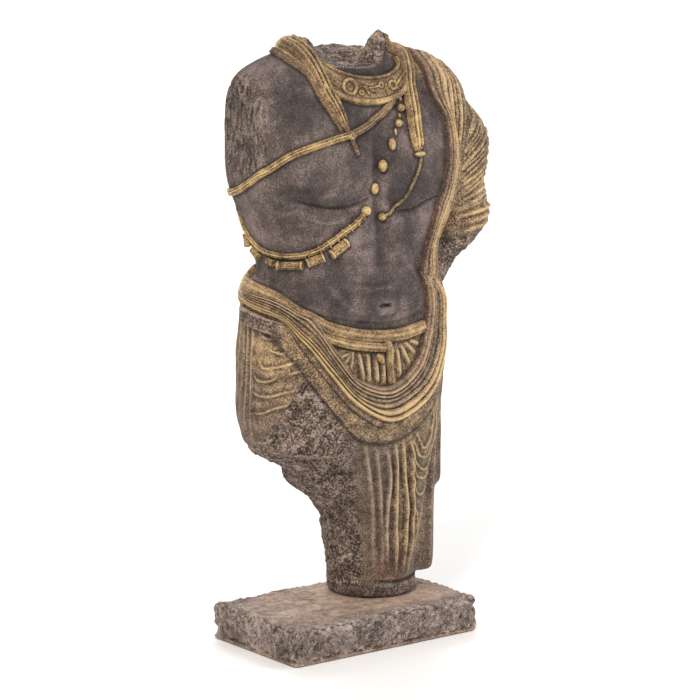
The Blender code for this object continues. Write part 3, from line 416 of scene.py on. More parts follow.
# How much wider than its crest a fold's foot spreads, and the power that rounds it (less is fuller)
FOLD_SPREAD = 1.25
FOLD_POWER = 0.8
# Grain of the cloth's tooth, and rounds of evening of a cloth's and a fringe's points and directions
CLOTH_GRAIN = 3.2
CLOTH_PASSES = (6, 16)
FRINGE_PASSES = (2, 10)
# A fringe's height, its loss to the lower edge, its knobs, its ragged edge and its inner side's depth
FRINGE_HEIGHT = 2.6
FRINGE_THINNING = 1.8
FRINGE_KNOBS = 0.6
FRINGE_GRAIN = 2.6
FRINGE_RAG = 2.5
FRINGE_SINK = 4
# Share of a cloth's length over which its ends rise from the skin
END_SHARE = 0.06
# How far a strap's inner side is under the skin, and a cord's middle outside it as a share of its radius
STRAP_SINK = 3
CORD_LIFT = 0.35

# Plinth in metres: its edge and grid, then size and depth of its lumps, crumbs, pits and chips
PLINTH_EDGE = 0.006
PLINTH_GRID = 0.0018
PLINTH_LUMP = 0.021
PLINTH_LUMP_DEPTH = 0.0022
PLINTH_CRUMB = 0.0055
PLINTH_CRUMB_DEPTH = 0.0018
PLINTH_PIT = 0.008
PLINTH_PIT_DEPTH = 0.004
PLINTH_TOP_SHARE = 0.55
PLINTH_CHIP = 0.004
PLINTH_CHIP_REACH = 0.012
PLINTH_GRAIN_DEPTH = 0.0018
# Upward part of a direction above which a face counts as top, and below which as underside
FACING_UP = 0.7
FACING_DOWN = -0.5
# The underside is flat up to this height, and the seat lies this much under the foot and beyond its rim
PLINTH_FLAT_BAND = 0.0012
SEAT_GAP = 0.0003
SEAT_MARGIN = 2

# Height step of the casting's grain
GRAIN_DEPTH = 0.0008

# Relief that counts as a ridge or a groove for the brushed paint
RELIEF_DEPTH = 1.1
RELIEF_PASSES = 14
# How far the painted shade spreads from a strap onto the body: dark paint that stands in for the shade
# where they meet
PAINTED_SHADE_REACH = 4.5
COLLAR_PAINTED_SHADE_REACH = 2.2
# Share of its reach over which the painted shade is at its full strength
PAINTED_SHADE_CORE = 0.35


def hermite(keys, values, places):
    """Cubic through the values at rising keys, read at the places."""
    slopes = np.gradient(values, keys, axis=0)
    index = np.clip(np.searchsorted(keys, places) - 1, 0, len(keys) - 2)
    width = (keys[index + 1] - keys[index])[:, None]
    t = (places - keys[index])[:, None] / width
    start = values[index] * (1 + 2 * t) * (1 - t) ** 2 + slopes[index] * width * t * (1 - t) ** 2
    end = values[index + 1] * t**2 * (3 - 2 * t) + slopes[index + 1] * width * t**2 * (t - 1)
    return start + end


def curve(anchors, count):
    """Smooth line through anchors of any dimension, with evenly spaced points."""
    anchors = np.array(anchors, float)
    steps = np.linalg.norm(np.diff(anchors, axis=0), axis=1)
    along = np.concatenate([[0], np.cumsum(steps)])
    return hermite(along, anchors, np.linspace(0, along[-1], count))


def closed_grid(name, points):
    """Object from rows of points. Each row is closed on itself, and both ends are capped."""
    rows, columns, _ = points.shape
    faces = []
    for row in range(rows - 1):
        low, high = row * columns, (row + 1) * columns
        for column in range(columns):
            beside = (column + 1) % columns
            faces.append((low + column, low + beside, high + beside, high + column))
    faces.append(tuple(range(columns))[::-1])
    faces.append(tuple((rows - 1) * columns + column for column in range(columns)))
    mesh = bpy.data.meshes.new(name)
    mesh.from_pydata(points.reshape(-1, 3).tolist(), [], faces)
    shape = bmesh.new()
    shape.from_mesh(mesh)
    bmesh.ops.recalc_face_normals(shape, faces=shape.faces)
    shape.to_mesh(mesh)
    shape.free()
    piece = bpy.data.objects.new(name, mesh)
    bpy.context.scene.collection.objects.link(piece)
    return piece


def loft(name):
    """Closed body through its superellipse stations along Z or X."""
    stations, along = LOFTS[name]
    stations = np.array(stations, float)
    length = stations[-1, 0] - stations[0, 0]
    places = np.linspace(stations[0, 0], stations[-1, 0], max(3, round(length / RING_STEP) + 1))
    rows = hermite(stations[:, 0], stations[:, 1:], places)
    turn = np.linspace(0, math.tau, RING_POINTS, endpoint=False)
    rings = []
    for place, (first, second, half, low, high, squareness) in zip(places, rows):
        across = np.sign(np.sin(turn)) * np.abs(np.sin(turn)) ** (2 / squareness)
        deep = -np.sign(np.cos(turn)) * np.abs(np.cos(turn)) ** (2 / squareness)
        reach = np.where(deep < 0, low, high)
        ring = np.stack([first + half * across, second + reach * deep, np.full(RING_POINTS, place)], 1)
        rings.append(ring[:, [2, 0, 1]] if along == "X" else ring)
    return closed_grid(name, np.array(rings))


def apply_modifiers(piece):
    """Replaces the object's mesh by its evaluated one."""
    evaluated = piece.evaluated_get(bpy.context.evaluated_depsgraph_get())
    mesh = bpy.data.meshes.new_from_object(evaluated)
    piece.modifiers.clear()
    piece.data = mesh
    return piece


def fuse(name, lofts, grid, levels=0):
    """One soft skin around overlapping lofts, made finer by a number of levels."""
    pieces = [loft(part) for part in lofts]
    bpy.ops.object.select_all(action="DESELECT")
    for piece in pieces:
        piece.select_set(True)
    body = pieces[0]
    bpy.context.view_layer.objects.active = body
    bpy.ops.object.join()
    body.name = name
    skin = body.modifiers.new("One skin", "REMESH")
    skin.mode = "VOXEL"
    skin.voxel_size = grid
    soft = body.modifiers.new("Worn edges", "SMOOTH")
    soft.factor = 0.5
    soft.iterations = BODY_SMOOTHING
    if levels:
        finer = body.modifiers.new("Finer skin", "SUBSURF")
        finer.levels = levels
        finer.render_levels = levels
    return apply_modifiers(body)


def thin_out(piece):
    """Takes triangles out of a dense mesh where they show least."""
    if len(piece.data.polygons) > DENSE_MESH:
        fewer = piece.modifiers.new("Fewer triangles", "DECIMATE")
        fewer.ratio = KEPT_SHARE
        apply_modifiers(piece)


def surface_of(body):
    """Search tree of a body's faces."""
    mesh = body.data
    return BVHTree.FromPolygons([v.co for v in mesh.vertices], [p.vertices[:] for p in mesh.polygons])


def laid(surface, axis, places):
    """Points and outward directions where rays towards an upright axis meet the surface."""
    points = []
    normals = []
    for turn, height in places:
        angle = math.radians(turn)
        outward = Vector((math.sin(angle), -math.cos(angle), 0))
        foot = Vector((*axis, height))
        point, normal, _, _ = surface.ray_cast(foot + outward * RAY_START, -outward)
        if point is None:
            point, normal, _, _ = surface.find_nearest(foot)
        points.append(point)
        normals.append(normal)
    return np.array(points), np.array(normals)


def rested(surface, places):
    """Nearest points of the surface, and its outward directions there."""
    found = [surface.find_nearest(Vector(place)) for place in places]
    return np.array([hit[0] for hit in found]), np.array([hit[1] for hit in found])


def evened(values, passes):
    """Averages a line or grid of vectors with its neighbours, and keeps its ends."""
    values = values.copy()
    for _ in range(passes):
        for axis in range(values.ndim - 1):
            rows = np.moveaxis(values, axis, 0)
            middle = (rows[:-2] + 2 * rows[1:-1] + rows[2:]) / 4
            rows[1:-1] = middle
    return values


def unit_rows(values):
    return values / np.maximum(np.linalg.norm(values, axis=-1, keepdims=True), 1e-9)


def end_fade(count, share):
    """Rises from 0 at both ends of a line to 1 within a share of its length."""
    place = np.linspace(0, 1, count)
    return np.sqrt(np.clip(np.minimum(place, 1 - place) / share, 0, 1))


def grid_between(surface, edges, steps, passes, ragged=0):
    """Evened points and outward directions on the skin, in a grid between two edges around the trunk."""
    along, across = steps
    first, last = (curve(edge, along)[:, None] for edge in edges)
    share = np.linspace(0, 1, across)[None, :, None]
    places = first * (1 - share) + (last + ragged) * share
    points, normals = laid(surface, TRUNK_AXIS, places.reshape(-1, 2))
    points = evened(points.reshape(along, across, 3), passes[0])
    return points, unit_rows(evened(normals.reshape(along, across, 3), passes[1]))


def both_sides(values):
    """A panel's values for its outer side, then the same mirrored for its inner side."""
    return np.concatenate([values, values[:, ::-1]], 1)


def sheet(name, points, normals, height, sink, fade):
    """Closed sheet from a height over a grid on the skin, less at both ends, to a depth under it."""
    height = height * end_fade(len(points), fade)[:, None]
    upper = points + normals * height[..., None]
    return closed_grid(name, np.concatenate([upper, (points - normals * sink)[:, ::-1]], 1))


def folded_panel(name, surface, edges, folds, lift, steps, fade=END_SHARE, wander=0.03, tooth=0.4):
    """Cloth between two edges laid around the trunk, with rounded folds of uneven width along it."""
    along, across = steps
    points, normals = grid_between(surface, edges, steps, CLOTH_PASSES)
    run = np.linspace(0, 1, along)[:, None]
    place = np.linspace(0, 1, across)[None, :]
    sway = np.sin(9 * run + 7 * place) + np.sin(23 * run - 11 * place) / 2
    place = place + wander * np.sin(math.pi * place) * sway
    rise = np.zeros((along, across))
    for centre, half, top in folds:
        crest = np.clip(1 - ((place - centre) / (half * FOLD_SPREAD)) ** 2, 0, 1)
        rise = np.maximum(rise, top * crest**FOLD_POWER)
    uneven = noise_at(points.reshape(-1, 3), CLOTH_GRAIN, seed=9).reshape(along, across)
    height = lift + rise + tooth * uneven
    piece = sheet(name, points, normals, height, CLOTH_SINK, fade)
    if folds:
        ridge = rise / max(top for _, _, top in folds)
        set_mask(piece.data, "relief", both_sides(ridge).reshape(-1))
    return piece


def ragged_panel(name, surface, edges, steps):
    """Stippled hem of a cloth, with a ragged lower edge."""
    along, across = steps
    rag = np.zeros((along, 1, 2))
    rag[:, 0, 1] = FRINGE_RAG * noise_at(np.linspace((0, 0, 0), (along / 5, 0, 0), along), 1, seed=7)
    points, normals = grid_between(surface, edges, steps, FRINGE_PASSES, rag)
    share = np.linspace(0, 1, across)[None, :]
    knobs = noise_at(points.reshape(-1, 3), FRINGE_GRAIN, seed=8).reshape(along, across)
    height = FRINGE_HEIGHT + FRINGE_KNOBS * knobs * (0.4 + share) - FRINGE_THINNING * share
    return sheet(name, points, normals, height, FRINGE_SINK, END_SHARE)


def tube(name, points, normals, across, up):
    """Closed tube along a line, from the reach of its cross sections to the side and outward."""
    side = unit_rows(np.cross(normals, np.gradient(points, axis=0)))
    rings = points[:, None] + side[:, None] * across[..., None]
    return closed_grid(name, rings + normals[:, None] * up[..., None])


def strap(name, points, normals, width, thickness, ridges=0, fade=0.05, around=32, groove=0.3):
    """Flat ridged strap along a line on the body. Width and thickness may change along it."""
    points = evened(points, 3)
    normals = unit_rows(evened(normals, 8))
    fade = end_fade(len(points), fade)[:, None]
    along = np.linspace(0, 1, len(points))
    width, thickness = (
        np.interp(along, np.linspace(0, 1, np.size(size)), np.atleast_1d(size))[:, None]
        for size in (width, thickness)
    )
    turn = np.linspace(0, math.tau, around, endpoint=False)[None, :]
    across = np.sign(np.cos(turn)) * np.abs(np.cos(turn)) ** 0.7 / 2
    up = np.sign(np.sin(turn)) * np.abs(np.sin(turn)) ** 0.7
    cut = 1 - groove * (1 - np.cos(math.tau * ridges * across)) / 2 if ridges else 1
    up = np.where(up > 0, up * cut * thickness, up * STRAP_SINK)
    return tube(name, points, normals, across * width * (0.4 + 0.6 * fade), up * fade)


def plied_cord(name, surface, places, radius, plies, pitch, count):
    """Cord of plies laid side by side and slowly turning, partly sunk in the body."""
    points, normals = laid(surface, TRUNK_AXIS, curve(places, count))
    points = evened(points, 6)
    normals = unit_rows(evened(normals, 20))
    points = points + normals * radius * CORD_LIFT
    length = np.concatenate([[0], np.cumsum(np.linalg.norm(np.diff(points, axis=0), axis=1))])
    turn = np.linspace(0, math.tau, 8 * plies, endpoint=False)[None, :]
    twist = (length / pitch * math.tau / plies)[:, None]
    swell = 1 + 0.22 * np.abs(np.cos(plies * (turn - twist) / 2)) - 0.15
    reach = radius * swell * end_fade(count, 0.02)[:, None]
    return tube(name, points, normals, np.cos(turn) * reach, np.sin(turn) * reach)


def set_on(piece, place, outward, tilt=0):
    """Moves a piece made at the origin and facing -Y onto a place, facing outward and tilted."""
    back = -Vector(outward).normalized()
    side = back.cross(Vector((0, 0, 1))).normalized()
    turned = Matrix((side, back, side.cross(back))).transposed().to_4x4()
    turned = turned @ Matrix.Rotation(-math.radians(tilt), 4, "Y")
    piece.data.transform(Matrix.Translation(place) @ turned)
    return piece


def knob(name, place, outward, radii, tilt=0):
    """Rounded lump of three radii: across, outward and up."""
    bpy.ops.mesh.primitive_uv_sphere_add(segments=24, ring_count=16, radius=1)
    piece = bpy.context.object
    piece.name = name
    piece.data.transform(Matrix.Diagonal((*radii, 1)))
    return set_on(piece, place, outward, tilt)


def amulet_case(name, place, outward, half, radius, tilt):
    """Ribbed tube with a thicker collar at each end."""
    end = ((1, 0.5), (1, 0.9), (0.97, 1), (0.84, 1), (0.8, 0.86))
    outline = [(-half * x, radius * r) for x, r in end]
    outline += [(half * x, radius * 0.86) for x in np.linspace(-0.7, 0.7, 11)]
    outline += [(half * x, radius * r) for x, r in end[::-1]]
    turn = np.linspace(0, math.tau, CASE_SIDES, endpoint=False)
    rings = []
    for index, (x, r) in enumerate(outline):
        rib = 1 + 0.09 * np.cos(CASE_RIBS * turn) * (4 < index < 16)
        rings.append(np.stack([np.full(CASE_SIDES, x), r * rib * np.cos(turn), r * rib * np.sin(turn)], 1))
    piece = closed_grid(name, np.array(rings))
    return set_on(piece, place, (outward[0], outward[1], 0), tilt)


def ring(name, place, outward, radius, thickness):
    """Raised ring that faces outward."""
    bpy.ops.mesh.primitive_torus_add(
        major_radius=radius, minor_radius=thickness, major_segments=40, minor_segments=12
    )
    piece = bpy.context.object
    piece.name = name
    piece.data.transform(Matrix.Rotation(math.pi / 2, 4, "X"))
    return set_on(piece, place, outward)


def read_places(mesh):
    places = np.empty(len(mesh.vertices) * 3)
    mesh.vertices.foreach_get("co", places)
    return places.reshape(-1, 3)


def read_normals(mesh):
    normals = np.empty(len(mesh.vertices) * 3)
    mesh.vertex_normals.foreach_get("vector", normals)
    return normals.reshape(-1, 3)


def set_places(mesh, places):
    mesh.vertices.foreach_set("co", places.reshape(-1))
    mesh.update()


def muscle_lines():
    return [(TRUNK_AXIS, line, width, rise * MUSCLE_DEPTH) for line, width, rise in MUSCLE_LINES]


def thigh_lines():
    """Folds of the cloth over thigh, leg and back, as axis, line, width and rise."""
    lines = [(TRUNK_AXIS, ridge, 1.5, 2.2) for ridge in THIGH_RIDGES]
    lines += [(TRUNK_AXIS, billow, 6, 2) for billow in THIGH_BILLOWS]
    lines += [(TRUNK_AXIS, THIGH_EDGE, 6, 3), (TRUNK_AXIS, THIGH_RECESS, 10, -9)]
    lines += [(LEG_AXIS, fold, 2.8, 4.8) for fold in LEG_FOLDS]
    lines += [(LEG_AXIS, ((-34, 20), (0, 18), (40, 18), (70, 18)), 2.4, -3.5)]
    lines += [(LEG_AXIS, fold, 3.2, 3.5) for fold in WORN_LEG_FOLDS]
    lines += [(LEG_AXIS, loop, 1.6, 2.6) for loop in HANGING_LOOPS]
    lines += [(TRUNK_AXIS, pleat, 2.6, 4.5) for pleat in PLEATS]
    lines += [(TRUNK_AXIS, (PLEAT_STAR, ray), 1.3, 2) for ray in PLEAT_RAYS]
    for index, turn in enumerate(range(-89, -270, -SKIRT_FOLD_STEP)):
        sway = 3 * math.sin(2.1 * index)
        foot = 205 + 12 * (index * 2 % 3)
        width, rise = (2.2, 1.8) if index < 2 else (4.5, 4.2)
        lines.append((TRUNK_AXIS, ((turn, 372), (turn + sway, 290), (turn - sway, foot)), width, rise))
        lines.append((TRUNK_AXIS, ((turn - 5, 366), (turn - 4, 290), (turn - 6, foot + 14)), 2, 1.8))
    for index, turn in enumerate(range(64, 190, SKIRT_FOLD_STEP + 8)):
        sway = 4 * math.sin(1.7 * index)
        lines.append((LEG_AXIS, ((turn, 215), (turn + sway, 110), (turn, 22)), 5, 4.5))
        lines.append((LEG_AXIS, ((turn + 8, 210), (turn + 9 - sway, 110), (turn + 8, 26)), 2.2, 1.8))
    return lines


def sleeve_lines():
    """Fan of thin folds round the left sleeve, with a few deep ones at its foot."""
    lines = []
    for index in range(SLEEVE_FOLDS):
        start = 518 - 5.2 * index + 1.5 * math.sin(2.3 * index)
        end = 582 - 9 * index + 2.5 * math.sin(1.9 * index)
        back = 566 - 8.6 * index
        width, rise = (2.4, 1.9) if index % 4 == 1 else (1.6, 1.5)
        fold = ((-24, start), (15, (start + end) / 2), (60, end), (110, back), (150, back))
        lines.append((ARM_AXIS, fold, width, rise))
    for height in (427, 436, 445):
        fold = ((-16, height - 4), (30, height), (70, height + 3), (120, height))
        lines.append((ARM_AXIS, fold, 2.6, 1.8))
    return lines


def carve(piece, surface, lines, mounds=()):
    """Raises or cuts each line in a piece's skin, and swells each mound."""
    mesh = piece.data
    places = read_places(mesh)
    rise = np.zeros(len(places))
    for centre, spread, swell in mounds:
        away = (places - np.array(centre)) / np.array(spread)
        rise += swell * np.exp(-(away**2).sum(1))
    for axis, line, width, lift in lines:
        rough, _ = laid(surface, axis, curve(line, LINE_POINTS))
        run = np.linalg.norm(np.diff(rough, axis=0), axis=1).sum()
        length = 3 + int(run / (LINE_STEP * width))
        points, _ = laid(surface, axis, curve(line, length))
        low = points.min(0) - LINE_REACH * width
        high = points.max(0) + LINE_REACH * width
        inside = np.nonzero(((places > low) & (places < high)).all(1))[0]
        strength = np.zeros(len(inside))
        for point, weight in zip(points, end_fade(length, LINE_FADE)):
            away = ((places[inside] - point) ** 2).sum(1)
            strength = np.maximum(strength, weight * np.exp(-away / width**2))
        rise[inside] += lift * strength
    set_places(mesh, places + read_normals(mesh) * rise[:, None])


def broken(places):
    """1 on broken stone and 0 on carving: the thigh, the leg's inner side and the cut shoulder."""
    x, _, z = places.T
    leg_turn = turn_of(places, LEG_AXIS)
    turns, heights = zip(*BREAK_LINE)
    line = np.interp(turn_of(places), turns, heights, right=0)
    thigh = np.clip((line - z) / 5, 0, 1)
    leg = np.clip((LEG_BREAK_TURN - leg_turn) / 6, 0, 1) * (leg_turn > -150) * (z > FOOT_THICKNESS)
    shoulder = ramp(x, SHOULDER_CUT + 5, SHOULDER_CUT - 3)
    shoulder = shoulder * ramp(z, SHOULDER_CUT_FOOT, SHOULDER_CUT_FOOT + 16)
    return np.maximum(np.where(z < LEG_BREAK_TOP, leg, thigh), shoulder)


def noise_at(places, grain, seed=0):
    """Smooth noise between about -1 and 1 with a grain in carving units."""
    offset = Vector((seed * 17.0, seed * 5.0, 0))
    return np.array([noise.noise(Vector(place) / grain + offset) for place in places])


def roughen(piece, share):
    """Facets, crumbs and pits on a piece where its share of broken stone is over 0."""
    mesh = piece.data
    places = read_places(mesh)
    normals = read_normals(mesh)
    chosen = np.nonzero(share > 0)[0]
    spots = places[chosen]
    coarse = BREAK_ROUGHNESS * noise_at(spots, BREAK_GRAIN)
    crumb = CRUMB_ROUGHNESS * noise_at(spots, CRUMB_GRAIN, seed=1)
    streaks = -STREAK_DEPTH * np.clip(noise_at(spots / STREAK_SIZE, 1, seed=12) - 0.1, 0, 0.6)
    moved = np.where(spots[:, 0] < SHOULDER_CUT + 3, streaks + 0.25 * coarse, coarse + crumb)
    places[chosen] += normals[chosen] * (moved * share[chosen])[:, None]
    set_places(mesh, places)


def worn(piece, depth=0.4):
    """Uneven skin on a small cast piece."""
    mesh = piece.data
    places = read_places(mesh)
    wear = depth * noise_at(places, WEAR_GRAIN, seed=11)
    set_places(mesh, places + read_normals(mesh) * wear[:, None])
    return piece


def neck_rim(x, y):
    """Height of the neck's hollow break, with a peak on its left side."""
    rim = NECK_RIM_FRONT + (y + 35) * NECK_RIM_RISE
    rim = rim - NECK_SCOOP * np.exp(-((x - 6) ** 2 + (y - 8) ** 2) / 24**2)
    for (peak_x, peak_y), spread, height in NECK_PEAKS:
        rim = rim + height * np.exp(-((x - peak_x) ** 2 + (y - peak_y) ** 2) / spread**2)
    return rim


def break_neck(piece):
    """Presses the neck's top down to its break and roughens it. Returns 1 on the break, else 0."""
    mesh = piece.data
    places = read_places(mesh)
    x, y, z = places.T
    rim = neck_rim(x, y)
    near = (np.hypot(x - NECK[-1][1], y - NECK[-1][2]) < NECK_REACH) & (z > rim)
    places[near, 2] = rim[near]
    crumb = 0
    for depth, grain, seed in NECK_CRUMBS:
        crumb += depth * noise_at(places[near], grain, seed)
    places[near, 2] += crumb
    set_places(mesh, places)
    return near.astype(float)


def turn_of(places, axis=TRUNK_AXIS):
    """Turn in degrees from the front, towards the figure's left, of each place around an upright axis."""
    return np.degrees(np.arctan2(places[:, 0] - axis[0], axis[1] - places[:, 1]))


def ramp(values, start, end):
    """0 before start, 1 after end, and even between."""
    return np.clip((values - start) / (end - start), 0, 1)


def make_torso(skin):
    """Chest, belly, neck and both shoulders, with the sleeve that the shawl hangs over."""
    torso = fuse("Torso", ("Trunk", "Neck", "Arm", "Right", "Left"), TORSO_GRID, levels=1)
    carve(torso, skin, muscle_lines() + sleeve_lines(), MOUNDS)
    on_break = break_neck(torso)
    places = read_places(torso.data)
    x, _, z = places.T
    under_sleeve = ramp(x, 100, 112) * ramp(z, 428, 414)
    cut = broken(places)
    roughen(torso, np.maximum(np.maximum(on_break, cut), under_sleeve))
    stone = np.maximum(np.maximum(NECK_STONE * on_break, CUT_STONE * cut), under_sleeve)
    turn = turn_of(places)
    cloth = np.maximum(ramp(turn, 62, 66) * ramp(turn, 128, 112), ramp(x, 112, 120))
    cloth = cloth * (1 - stone)
    deep = ramp(z, 456, 446) * ramp(z, 418, 428) * ramp(x, 100, 112)
    rust = 0.8 * deep + 0.25 * under_sleeve + 0.35 * cut
    gold = cloth * (1 - 0.5 * ramp(turn, 110, 150))
    return torso, {"cloth": cloth, "gold": gold, "stone": stone, "rust": rust}


def make_hips(skin):
    """Hips, the broken thigh, the standing leg and the cloth that hangs beside it."""
    hips = fuse("Hips_and_leg", ("Hips", "Side", "Hip"), HIPS_GRID, levels=1)
    carve(hips, skin, thigh_lines())
    places = read_places(hips.data)
    stone = broken(places)
    roughen(hips, stone)
    places = read_places(hips.data)
    turn = turn_of(places)
    leg_turn = turn_of(places, LEG_AXIS)
    turns, heights = zip(*WAISTBAND)
    above = ramp(places[:, 2] - np.interp(turn, turns, heights, right=380), -2, 6)
    places -= read_normals(hips.data) * (TUCKED_IN * above)[:, None]
    places[:, 2] = np.where(places[:, 2] < FLAT_BAND, 0, places[:, 2])
    set_places(hips.data, places)
    x, _, z = places.T
    low = ramp(z, 200, 180)
    side = ramp(x, 98, 106) * low
    foot = ramp(z, FOOT_THICKNESS + 6, FOOT_THICKNESS)
    lump = ramp(-turn, 64, 70) * ramp(-turn, 104, 98) * ramp(z, 322, 330) * ramp(z, 352, 344)
    cloth = (1 - stone) * (1 - foot) * (1 - above)
    leg_gold = 0.75 * ramp(leg_turn, -26, -10) * (1 - 0.85 * side) * ramp(z, 20, 70)
    gold = np.where(z > 215, np.where(turn < -50, ramp(z, 205, 300), 0.8), leg_gold)
    gold = gold * np.where(turn < -88, 0.5, np.where(turn > 75, 0.6, 1)) * (1 - lump)
    rust = 0.9 * ramp(z, 95, 45) * (1 - foot) * ramp(leg_turn, -36, -26) * ramp(leg_turn, 24, 12)
    rust = np.maximum(rust, 0.5 * ramp(-turn, 82, 92) * ramp(z, 300, 200))
    rust = np.maximum(rust, 0.35 * ramp(leg_turn, -46, -40) * ramp(leg_turn, -18, -26) * low)
    masks = {"cloth": cloth, "gold": gold * cloth, "rust": rust * (1 - stone)}
    masks["stone"] = np.maximum(stone, np.maximum(foot * 0.6, side * 0.55))
    return hips, masks


def across_panel(values):
    """Mask of a cloth from its values spaced evenly from the cloth's first edge to its last."""
    along, across = CLOTH_STEPS
    row = np.interp(np.linspace(0, 1, across), np.linspace(0, 1, len(values)), values)
    return np.tile(both_sides(row[None]), along)[0]


def make_drapery(surface):
    """Swag below the belly with its fringe, the left shoulder's shawl and the cloth across the back."""
    made = []
    for name, edges, folds, lift, gold, rust in (
        ("Swag", (SWAG_TOP, SWAG_FOOT), SWAG_FOLDS, 3.2, SWAG_GOLD, SWAG_RUST),
        ("Swag_fringe", (SWAG_FOOT, FRINGE_EDGE), (), 0, (), ()),
        ("Shawl", (SHAWL_INNER, SHAWL_OUTER), SHAWL_FOLDS, 3.6, SHAWL_GOLD, SHAWL_RUST),
        ("Back_cloth", (BACK_UPPER, BACK_LOWER), BACK_FOLDS, 2.5, (0.7, 0.7), (0, 0)),
    ):
        if folds:
            piece = folded_panel(name, surface, edges, folds, lift, CLOTH_STEPS)
            masks = {"cloth": 1, "gold": across_panel(gold), "rust": across_panel(rust)}
        else:
            piece = ragged_panel(name, surface, edges, FRINGE_STEPS)
            masks = {"cloth": 1, "gold": 0.8}
        made.append((piece, masks))
    lump = folded_panel("Hip_lump", surface, HIP_LUMP, (), 6.5, LUMP_STEPS, fade=0.16, tooth=2.6)
    return made + [(lump, {"stone": 0.8, "cloth": 0.2, "gold": 0.2})]


def tree_of(places):
    """Finds the nearest of many places quickly."""
    tree = KDTree(len(places))
    for index, place in enumerate(places):
        tree.insert(place, index)
    tree.balance()
    return tree


def painted_shade_around(piece, tree, reach):
    """Painted shade: 1 where a piece meets what is laid on it, down to 0 at the reach."""
    away = np.array([tree.find(Vector(place))[2] for place in read_places(piece.data)])
    return ramp(away, reach, reach * PAINTED_SHADE_CORE)


def spot(surface, turn, height, lift):
    """Place a little off the skin at a turn and height around the trunk, and the direction outward."""
    places, normals = laid(surface, TRUNK_AXIS, [(turn, height)])
    return places[0] + normals[0] * lift, normals[0]


def make_collar(surface):
    """Collar band between a thin upper and a thick lower rim, with rings and short bars on it."""
    edges = (COLLAR_TOP, COLLAR_LOW)
    band = folded_panel("Collar", surface, edges, (), 3, (160, 40), fade=0.02, wander=0)
    pieces = []
    for name, line, width, thickness in (
        ("Collar_upper_rim", COLLAR_TOP, 3.6, 4.6),
        ("Collar_lower_rim", COLLAR_LOW, 7, 6),
    ):
        points, normals = laid(surface, TRUNK_AXIS, curve(line, 160))
        pieces.append(strap(name, points, normals, width, thickness, fade=0.02))
    for index, (turn, height, radius, thickness) in enumerate(COLLAR_RINGS, 1):
        place = spot(surface, turn, height, 3.6)
        pieces.append(ring("Collar_ring_%d" % index, *place, radius, thickness))
    for index, (turn, height, tilt) in enumerate(COLLAR_BARS, 1):
        place = spot(surface, turn, height, 3)
        pieces.append(knob("Collar_bar_%d" % index, *place, (1.3, 1.8, 5), tilt))
    ornament = np.concatenate([read_places(piece.data) for piece in pieces])
    # The band is painted darker round its rings and bars: painted shade where they meet it
    masks = {"cloth": 1, "gold": 0.55, "dirt": painted_shade_around(band, tree_of(ornament), COLLAR_PAINTED_SHADE_REACH)}
    return [(band, masks)] + [(worn(piece, 0.25), {"cloth": 1, "gold": 0.9}) for piece in pieces]


def make_lappets(surface):
    """Ribbons over both shoulders: the right one crosses the baldric, the left one ends in a knot."""
    made = [(knob("Right_ribbon_fold", LAPPET_ROOT[0], (-1, -1, 0), LAPPET_ROOT[1]), 0.25)]
    for name, path, width, thickness, ridges, gold in (
        ("Right_ribbon", RIGHT_LAPPET, (26, 27, 26, 24, 21, 18, 13), (12, 16, 12, 10, 8, 7, 4), 4, 0.9),
        ("Right_ribbon_tail", RIGHT_LAPPET_TAIL, (7, 5, 5, 4), (3.5, 3, 3, 2.5), 2, 0.4),
        ("Left_ribbon", LEFT_LAPPET, (17, 17, 17, 17, 18, 17, 13), (7, 9, 9, 8, 8, 8, 7), 3, 0.85),
        ("Shoulder_ribbon", SHOULDER_STRAND, (9, 11, 11, 9, 6), (6, 8, 7, 6, 4), 2, 0.35),
        ("Ribbon_under_edge", STRAND_EDGE, (5, 5, 4, 3), (4, 3.5, 3, 2), 0, 0.2),
    ):
        points, normals = rested(surface, curve(path, 200))
        piece = strap(name, points, normals, width, thickness, ridges, around=80, groove=0.35)
        places = read_places(piece.data)
        made.append((piece, gold * (0.3 + 0.7 * ramp(places[:, 2], 628, 600))))
    crossing, outward = rested(surface, [LAPPET_CROSSING, LAPPET_KNOB])
    place = crossing[0] + outward[0] * 3
    made.append((knob("Ribbon_crossing", place, outward[0], (5.5, 3.4, 4.4), 20), 0.8))
    made.append((knob("Left_ribbon_knot", crossing[1] + outward[1] * 3, outward[1], (6.5, 5, 3)), 0.9))
    return [(worn(piece), {"cloth": 1, "gold": gold}) for piece, gold in made]


def make_jewellery(surface):
    """Baldric, bead string, and the chain with its amulet cases."""
    points, normals = laid(surface, TRUNK_AXIS, curve(BALDRIC, 320))
    baldric = strap("Baldric", points, normals, 8.4, 4.4, 3, 0.01, around=60)
    turn = turn_of(read_places(baldric.data))
    made = [(baldric, 0.2 + 0.8 * ramp(-turn, 12, 26))]
    made.append((plied_cord("Side_cord", surface, SIDE_CORD, 1.7, 3, 10, 140), 0.7))
    points, normals = laid(surface, TRUNK_AXIS, curve(CHAIN, 300))
    made.append((strap("Chain", points, normals, 6.4, 3.4, 2, 0.01, around=40, groove=0.6), 0.85))
    for index in range(CHAIN_BARS):
        place = CHAIN_BAR_START + index * CHAIN_BAR_STEP
        along = points[place + 1] - points[place - 1]
        side = np.array((-normals[place][1], normals[place][0], 0))
        tilt = math.degrees(math.atan2(along[2], side @ along))
        name = "Chain_bar_%d" % (index + 1)
        centre = points[place] + normals[place] * 2.4
        made.append((knob(name, centre, normals[place], (1.2, 2.2, 5.2), tilt), 0.95))
    for index, (turn, height, half_width, half_height) in enumerate(BEADS, 1):
        place = spot(surface, turn, height, half_width * 0.5)
        made.append((knob("Bead_%d" % index, *place, (half_width, half_width, half_height)), 1))
    for index, (turn, height, half, radius, tilt) in enumerate(AMULETS, 1):
        place = spot(surface, turn, height, radius * 0.6)
        made.append((amulet_case("Amulet_%d" % index, *place, half, radius, tilt), 0.95))
    return [(worn(piece), {"cloth": 1, "gold": gold}) for piece, gold in made]


